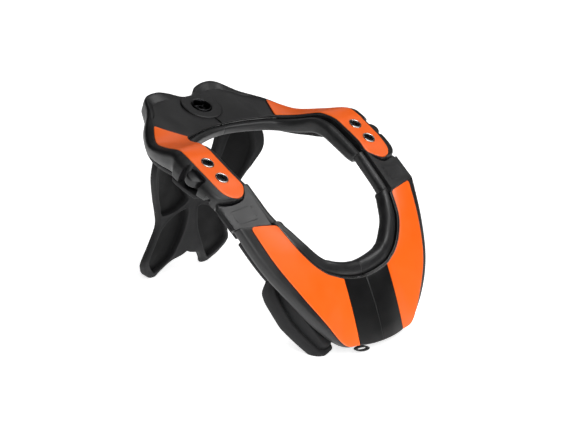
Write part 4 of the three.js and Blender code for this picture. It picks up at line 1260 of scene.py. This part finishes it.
vinyl, tree, shader, where = start_material("vinyl_piping_gloss_black")
wear = add_node(tree, "ShaderNodeTexNoise",
                {"Vector": where, "Scale": per_metre(VINYL_WEAR_MM), "Detail": 2.0})
gloss = add_node(tree, "ShaderNodeMapRange",
                 {0: wear.outputs["Fac"], 1: 0.3, 2: 0.7, 3: 0.14, 4: 0.24})
tree.links.new(gloss.outputs[0], shader.inputs["Roughness"])
shader.inputs["Base Color"].default_value = linear("#121213")
shader.inputs["IOR"].default_value = 1.54
shader.inputs["Coat Weight"].default_value = 1.0
CORD = (vinyl, "pad_black")
print("made", vinyl.name)

# %% [markdown]
# Where a roll meets the shell, its sewn cover ends in piping, double in front and single behind.
# Each is a round cord in the groove between roll and shell, drawn as a tube along that edge.

# %% Piping beside the rolls
PIPING_R = 0.5
PIPING_SPOTS = ((-0.75, 0.45), (0.45, 1.3))  # across and above the shell's inner edge


def tube(name, path, radius, sides=10):
    """A round cord along a path, with soft ends."""
    rings = []
    side = None
    for k, p in enumerate(path):
        way = (path[min(k + 1, len(path) - 1)] - path[max(k - 1, 0)]).normalized()
        side = way.orthogonal().normalized() if side is None else (side - way * side.dot(way)).normalized()
        other = way.cross(side)
        rings.append([p + side * radius * math.cos(2 * math.pi * j / sides)
                      + other * radius * math.sin(2 * math.pi * j / sides) for j in range(sides)])
    return skin(name, soft_ends(rings, radius * 0.8, 3))


for number, (a, h) in enumerate(PIPING_SPOTS):
    path = [place(station(BIB, u), a, h) for u in steps(0.08, 6.94, 140)]
    dress_pair(tube("piping_front_" + str(number + 1), path, PIPING_R), CORD, "front_half", sharp=60)
rear_path = [place(station(YOKE, u), -0.25, -1.75) for u in steps(0.1, 13.7, 150)]
dress_pair(tube("piping_rear", rear_path, PIPING_R), CORD, "rear_half", sharp=60)

# %% [markdown]
# The bridges join bib and arms. Each is a black plate whose face climbs towards the neck roll, with
# a shallow sunk panel and a flat tongue whose outer corner hooks round the pin. The tongue is its
# outline drawn at a few depths, with the outer side rounded over and cut back below. The face is a
# block with a sloping top, kept only inside its own outline. Tools cut the hook, the panel and the
# end against the bib, and a small bevel softens every edge.

# %% Bridges
BRIDGE_THICK, BRIDGE_FOAM_THICK, BRIDGE_BEVEL = 8.0, 6.0, 0.5
PIN_SLOT_R, EYE_R, TONGUE_BACK = 3.1, 5.0, 0.9
BRIDGE_SIDE = [  # x of the outer side, depth
    (119.2, 0), (120.6, 0.6), (121.4, 1.8), (121.6, 3.4), (116.6, BRIDGE_THICK)]


def bridge_outline(outer):
    """Outline of the plate, seen from above, with its outer side at the given x."""
    tongue = STEP_Y - TONGUE_BACK
    eye = [(PIN_X + EYE_R * math.cos(t), PIN_Y + EYE_R * math.sin(t) * 0.98)
           for t in steps(math.pi * 0.5, -math.pi * 0.2, 13)]
    corners = [(84.5, tongue), (PIN_X - 3, tongue), *eye, (outer, -27.5), (outer, -70.0), (81.6, -70.0),
               (81.6, -26.0)]
    return [Vector(p) for p in rounded([(x, y, 0.8) for x, y in corners], 3)]


def below_plane(outline, depth):
    """A ring parallel to the sliding plane, some way under it."""
    return [on_plane(p.x, p.y) - UP_PLANE * depth for p in outline]


FACE_IN_X, FACE_OUT_X = 81.6, 121.6
FACE_RISE_Y = (-70.0, -48.0, -20.0)
FACE_RISE_INNER, FACE_RISE_OUTER = (1.7, 5.0, 9.2), (0.3, 0.3, 2.6)
FACE_CORNERS = [(FACE_IN_X, -21.4, 0.4), (82.8, -22.0, 0.4), (86.2, -27.2, 3.0), (92.6, -31.9, 3.0),
                (104.8, -32.4, 4.0), (115.8, -29.7, 4.0), (FACE_OUT_X - 2, -27.8, 1.2),
                (FACE_OUT_X - 2, -70.0, 0.1), (FACE_IN_X, -70.0, 0.1)]
SUNK_PANEL = [(89, -37, 2.5), (113, -35.5, 2.5), (112.5, -47, 2.5), (90, -49, 2.5)]


def on_face(x, y, up=0.0):
    """A point on the sloping face of the bridge, or some way above it."""
    inner = np.interp(y, FACE_RISE_Y, FACE_RISE_INNER)
    outer = np.interp(y, FACE_RISE_Y, FACE_RISE_OUTER)
    inwards = (FACE_OUT_X - x) / (FACE_OUT_X - FACE_IN_X)
    return on_plane(x, y) + Vector((0, 0, outer + (inner - outer) * inwards + up))


across_face = steps(FACE_IN_X - 5, FACE_OUT_X + 5, 12)
slab = [[on_face(x, y) for x in across_face] + [on_plane(x, y) - UP_PLANE for x in across_face[::-1]]
        for y in steps(-16, -75, 60)]
face = skin("bridge_face", slab)
upright = [[on_plane(p.x, p.y) + Vector((0, 0, z)) for p in rounded(FACE_CORNERS, 5)] for z in (-9, 30)]
carve(face, skin("outline", upright), operation="INTERSECT")

pin_at = on_plane(PIN_X, PIN_Y)
bridge = skin("bridge_plate",
              [below_plane(bridge_outline(outer), depth) for outer, depth in BRIDGE_SIDE])
carve(bridge, face, operation="UNION")
pin_hole = round_tool(PIN_SLOT_R, -20, 5, pin_at, SIDEWAYS, UP_PLANE.cross(SIDEWAYS), UP_PLANE, 32)
hook_mouth = block("mouth", pin_at - ALONG_PLANE * 10, SIDEWAYS, -ALONG_PLANE, UP_PLANE,
                   (PIN_SLOT_R * 2, 20, 50))
panel_line = [Vector((p.x, p.y, 0)) for p in rounded(SUNK_PANEL, 5)]
panel_rings = []
for up, inset in ((2.0, -1.6), (0.0, 0.0), (-0.14, 0.9)):
    panel_rings.append([on_face(p.x, p.y, up) for p in inset_ring(panel_line, UPRIGHT, inset, 0)])
panel_tool = skin("panel", panel_rings)
carve(bridge, pin_hole, hook_mouth, panel_tool, bib_end(0.3), bib_end(-1.3, deep=2.6))
soften = bridge.modifiers.new("soften", "BEVEL")
soften.width, soften.segments = BRIDGE_BEVEL * 0.001, 3
soften.limit_method, soften.angle_limit = "ANGLE", 0.7
keep_evaluated(bridge)
dress_pair(bridge, SHELL, "front_half", "bridge")

foam_top, foam_low = BRIDGE_THICK + GAP, BRIDGE_THICK + BRIDGE_FOAM_THICK
foam_line = [Vector((x, y, 0)) for x, y in rounded(
    [(86, -17, 4), (105, -17, 4), (113, -26, 4), (113, -70, 0.5), (82, -70, 0.5), (82, -26, 4)], 5)]
foam_cuts = [(foam_top, 0.4), (foam_top + 0.4, 0), (foam_low - 2, 0), (foam_low - 0.8, 0.6), (foam_low, 2.0)]
bridge_foam = skin("shoulder_pad_bridge", [
    below_plane(inset_ring(foam_line, UPRIGHT, inset, 0), depth) for depth, inset in foam_cuts])
carve(bridge_foam, bib_end(4))
dress_pads(bridge_foam, FOAM, "front_half", "bridge_under_pad")

# %% [markdown]
# Behind the lower bib sit two thick chest pads, moulded with a raised lip that stands out past the
# rim and a sunken ledge inside it. The table gives the lip and the back of the pad along the bib.

# %% Chest pads
CHEST = np.array([  # bib row, from, to, front, lip, back
    [1.34, -14, -3, -11.8, -20, -38],
    [1.5, -16, 3, -11.7, -23.5, -47.5],
    [1.75, -18, 6.5, -11.7, -25.5, -48],
    [2.0, -20, 9, -11.6, -26, -46.5],
    [2.5, -22, 12.5, -11.6, -27, -46.5],
    [3.0, -24, 15, -11.6, -25, -43],
    [3.5, -26, 17, -10.9, -20, -36.5],
    [3.75, -26, 12.5, -10.4, -17, -31],
    [3.9, -24, 5, -10.4, -14, -25],
])
chest_rings = []
for u in steps(1.36, 3.88, 80):
    s = station(BIB, u)
    near = [[np.interp(u + off, CHEST[:, 0], CHEST[:, c]) for c in range(1, 6)]
            for off in (-0.06, -0.02, 0.02, 0.06)]
    start, end, face, lip, rear = np.mean(near, axis=0)
    a0, a1, deep = s.width + start, s.width + end, lip - rear
    ring = ring_of(s, [
        (a0, face - 1.5, 1.2), (a0 + 2, face, 1.0), (a1 - 9, face - 3, 1.5), (a1 - 7, lip - 1.5, 1.0),
        (a1 - 5.5, lip, 1.2), (a1 - 2, lip, 1.5), (a1, lip - deep * 0.3, 2.5),
        (a1 - 1, rear + deep * 0.25, 3.0), (a1 - 5, rear, 3.5), (a0 + 4, rear, 3.5),
        (a0, rear + 3, 2.5)], 4)
    chest_rings.append([Vector((p.x, p.y, max(p.z, 0.0))) for p in ring])
chest = skin("chest_pad_foam", soft_ends(chest_rings, 1.2))
for v in chest.data.vertices:
    v.co.z = max(v.co.z, 0.0)
dress_pads(chest, FOAM, "front_half", "chest_pad")

# %% [markdown]
# Under the front edge hangs a small loop of flat webbing for a strap. It is an upright oval band
# that climbs to the side with the edge of the bib; its cut is a soft-cornered rectangle.

# %% Webbing loop
LOOP_AT, LOOP_CLIMB, LOOP_DEEP = Vector((-23.6, -119.8, 4.4)), -0.2, 3.0
LOOP_OUTER, LOOP_HOLE = (10.0, 2.7), (6.6, 1.2)  # half length and half height


def loop_point(t, share, back):
    """A point of the band: share 0 is the hole's edge, 1 the outer edge."""
    along, up = ((hole + (outer - hole) * share) * turn
                 for hole, outer, turn in zip(LOOP_HOLE, LOOP_OUTER, (math.cos(t), math.sin(t))))
    return LOOP_AT + Vector((along, back, up + LOOP_CLIMB * along))


LOOP_SIDES, LOOP_SOFT = 48, 0.4
band_corners = [(0, -LOOP_DEEP / 2), (1, -LOOP_DEEP / 2), (1, LOOP_DEEP / 2), (0, LOOP_DEEP / 2)]
band = rounded([(*corner, LOOP_SOFT) for corner in band_corners], 4)
rings = [[loop_point(2 * math.pi * k / LOOP_SIDES, share, back) for share, back in band]
         for k in range(LOOP_SIDES)]
dress(skin("webbing_loop", rings, round_about=True), STRAP, "front_half", "strap_loop", sharp=50)

# %% [markdown]
# The picture is taken in a plain white studio. A pale floor runs out of view. It glows a little,
# like a light table, so it stays white and shows almost no shadow, and the bevels that face down
# catch a grey band from it.

# %% Floor
FLOOR_R, FLOOR_SIDES = 2.2, 64  # the paper ends outside the picture
FIBRE_MM = 6.0  # far coarser than real paper, and hardly visible even so

floor_mesh = bpy.data.meshes.new("studio_floor")
edge_turns = steps(0, 2 * math.pi, FLOOR_SIDES + 1)[:-1]
edge_points = [(FLOOR_R * math.cos(t), FLOOR_R * math.sin(t), 0.0) for t in edge_turns]
floor_mesh.from_pydata(edge_points, [], [tuple(range(FLOOR_SIDES))])
floor = bpy.data.objects.new("studio_floor", floor_mesh)
bpy.context.scene.collection.objects.link(floor)
paper, tree, shader, where = start_material("studio_paper_white")
fibre = add_node(tree, "ShaderNodeTexNoise",
                 {"Vector": where, "Scale": per_metre(FIBRE_MM), "Detail": 2.0})
tone = add_node(tree, "ShaderNodeMix",
                {0: fibre.outputs["Fac"], 6: linear("#F6F6F6"), 7: linear("#FAFAFA")}, data_type="RGBA")
tree.links.new(tone.outputs[2], shader.inputs["Base Color"])
shader.inputs["Roughness"].default_value = 0.9
shader.inputs["Specular IOR Level"].default_value = 0.2
shader.inputs["Emission Color"].default_value = linear("#FFFFFF")
shader.inputs["Emission Strength"].default_value = 0.8
floor.data.materials.append(paper)
print("floor radius, metres", FLOOR_R)

# %% [markdown]
# The sky is bright overhead and dim towards the horizon, because black plastic mirrors the horizon
# at a low angle and would turn grey. Three large soft lights stand round the brace: the strongest in
# front on the left, one above on the right, and a weak one behind.

# %% Sky and lights
DOME_FROM, DOME_TO, DOME_LOW, DOME_HIGH = 0.6, 1.0, 0.05, 2.3  # sine of the height, strength

scene = bpy.context.scene
scene.world = bpy.data.worlds.new("studio_sky")
scene.world.use_nodes = True
tree = scene.world.node_tree
sky = tree.nodes["Background"]
ray = add_node(tree, "ShaderNodeTexCoord").outputs["Generated"]
height = add_node(tree, "ShaderNodeSeparateXYZ", {0: ray}).outputs["Z"]
dome = add_node(tree, "ShaderNodeMapRange",
                {0: height, 1: DOME_FROM, 2: DOME_TO, 3: DOME_LOW, 4: DOME_HIGH},
                interpolation_type="SMOOTHSTEP")
tree.links.new(dome.outputs[0], sky.inputs["Strength"])
# where the paper ends, a white backdrop carries on; it lights and mirrors nothing
backdrop = add_node(tree, "ShaderNodeBackground", {0: linear("#FFFFFF"), 1: 1.0})
seen = add_node(tree, "ShaderNodeLightPath").outputs["Is Camera Ray"]
both = add_node(tree, "ShaderNodeMixShader", {0: seen, 1: sky.outputs[0], 2: backdrop.outputs[0]})
tree.links.new(both.outputs[0], tree.nodes["World Output"].inputs["Surface"])


LIGHT_AIM = (0, 0, 0.1)


def soft_light(name, at, size, power):
    """A square or oblong soft light that looks at the brace; metres and watts."""
    light = bpy.data.lights.new(name, "AREA")
    light.shape, light.size, light.size_y, light.energy = "RECTANGLE", size[0], size[1], power
    lamp = bpy.data.objects.new(name, light)
    bpy.context.scene.collection.objects.link(lamp)
    lamp.location = at
    lamp.rotation_mode = "QUATERNION"
    lamp.rotation_quaternion = (Vector(LIGHT_AIM) - Vector(at)).to_track_quat("-Z", "Y")


soft_light("key_left", (-1.0, -1.5, 1.5), (1.4, 1.4), 32)
soft_light("top_soft", (0.85, -0.7, 1.75), (1.2, 1.2), 18)
soft_light("back_right", (1.2, 1.4, 1.3), (1.2, 0.8), 2)

# %% [markdown]
# The camera stands in front, to the wearer's right and a little above, with a long lens. Its place
# and its three axes were worked out from where the eyelets and panel corners lie in the picture.

# %% Camera
SENSOR_MM, FOCAL_PIXELS, IMAGE_PIXELS = 36.0, 2000.0, 571.0
CAMERA_AT = (-1.29988, -1.24146, 0.70071)
CAMERA_AXES = [  # to its right, up, and back towards it
    (0.69466, -0.71866, 0.03138), (0.20959, 0.24394, 0.94687), (-0.68813, -0.65118, 0.32008)]

camera_data = bpy.data.cameras.new("camera")
camera_data.sensor_width = SENSOR_MM
camera_data.lens = FOCAL_PIXELS * SENSOR_MM / IMAGE_PIXELS
camera = bpy.data.objects.new("camera", camera_data)
scene.collection.objects.link(camera)
turn = Matrix(CAMERA_AXES).transposed().to_4x4()
camera.matrix_world = Matrix.Translation(CAMERA_AT) @ turn
scene.camera = camera
scene.view_settings.view_transform = "Standard"
print("lens, mm", round(camera_data.lens, 1))

# %% [markdown]
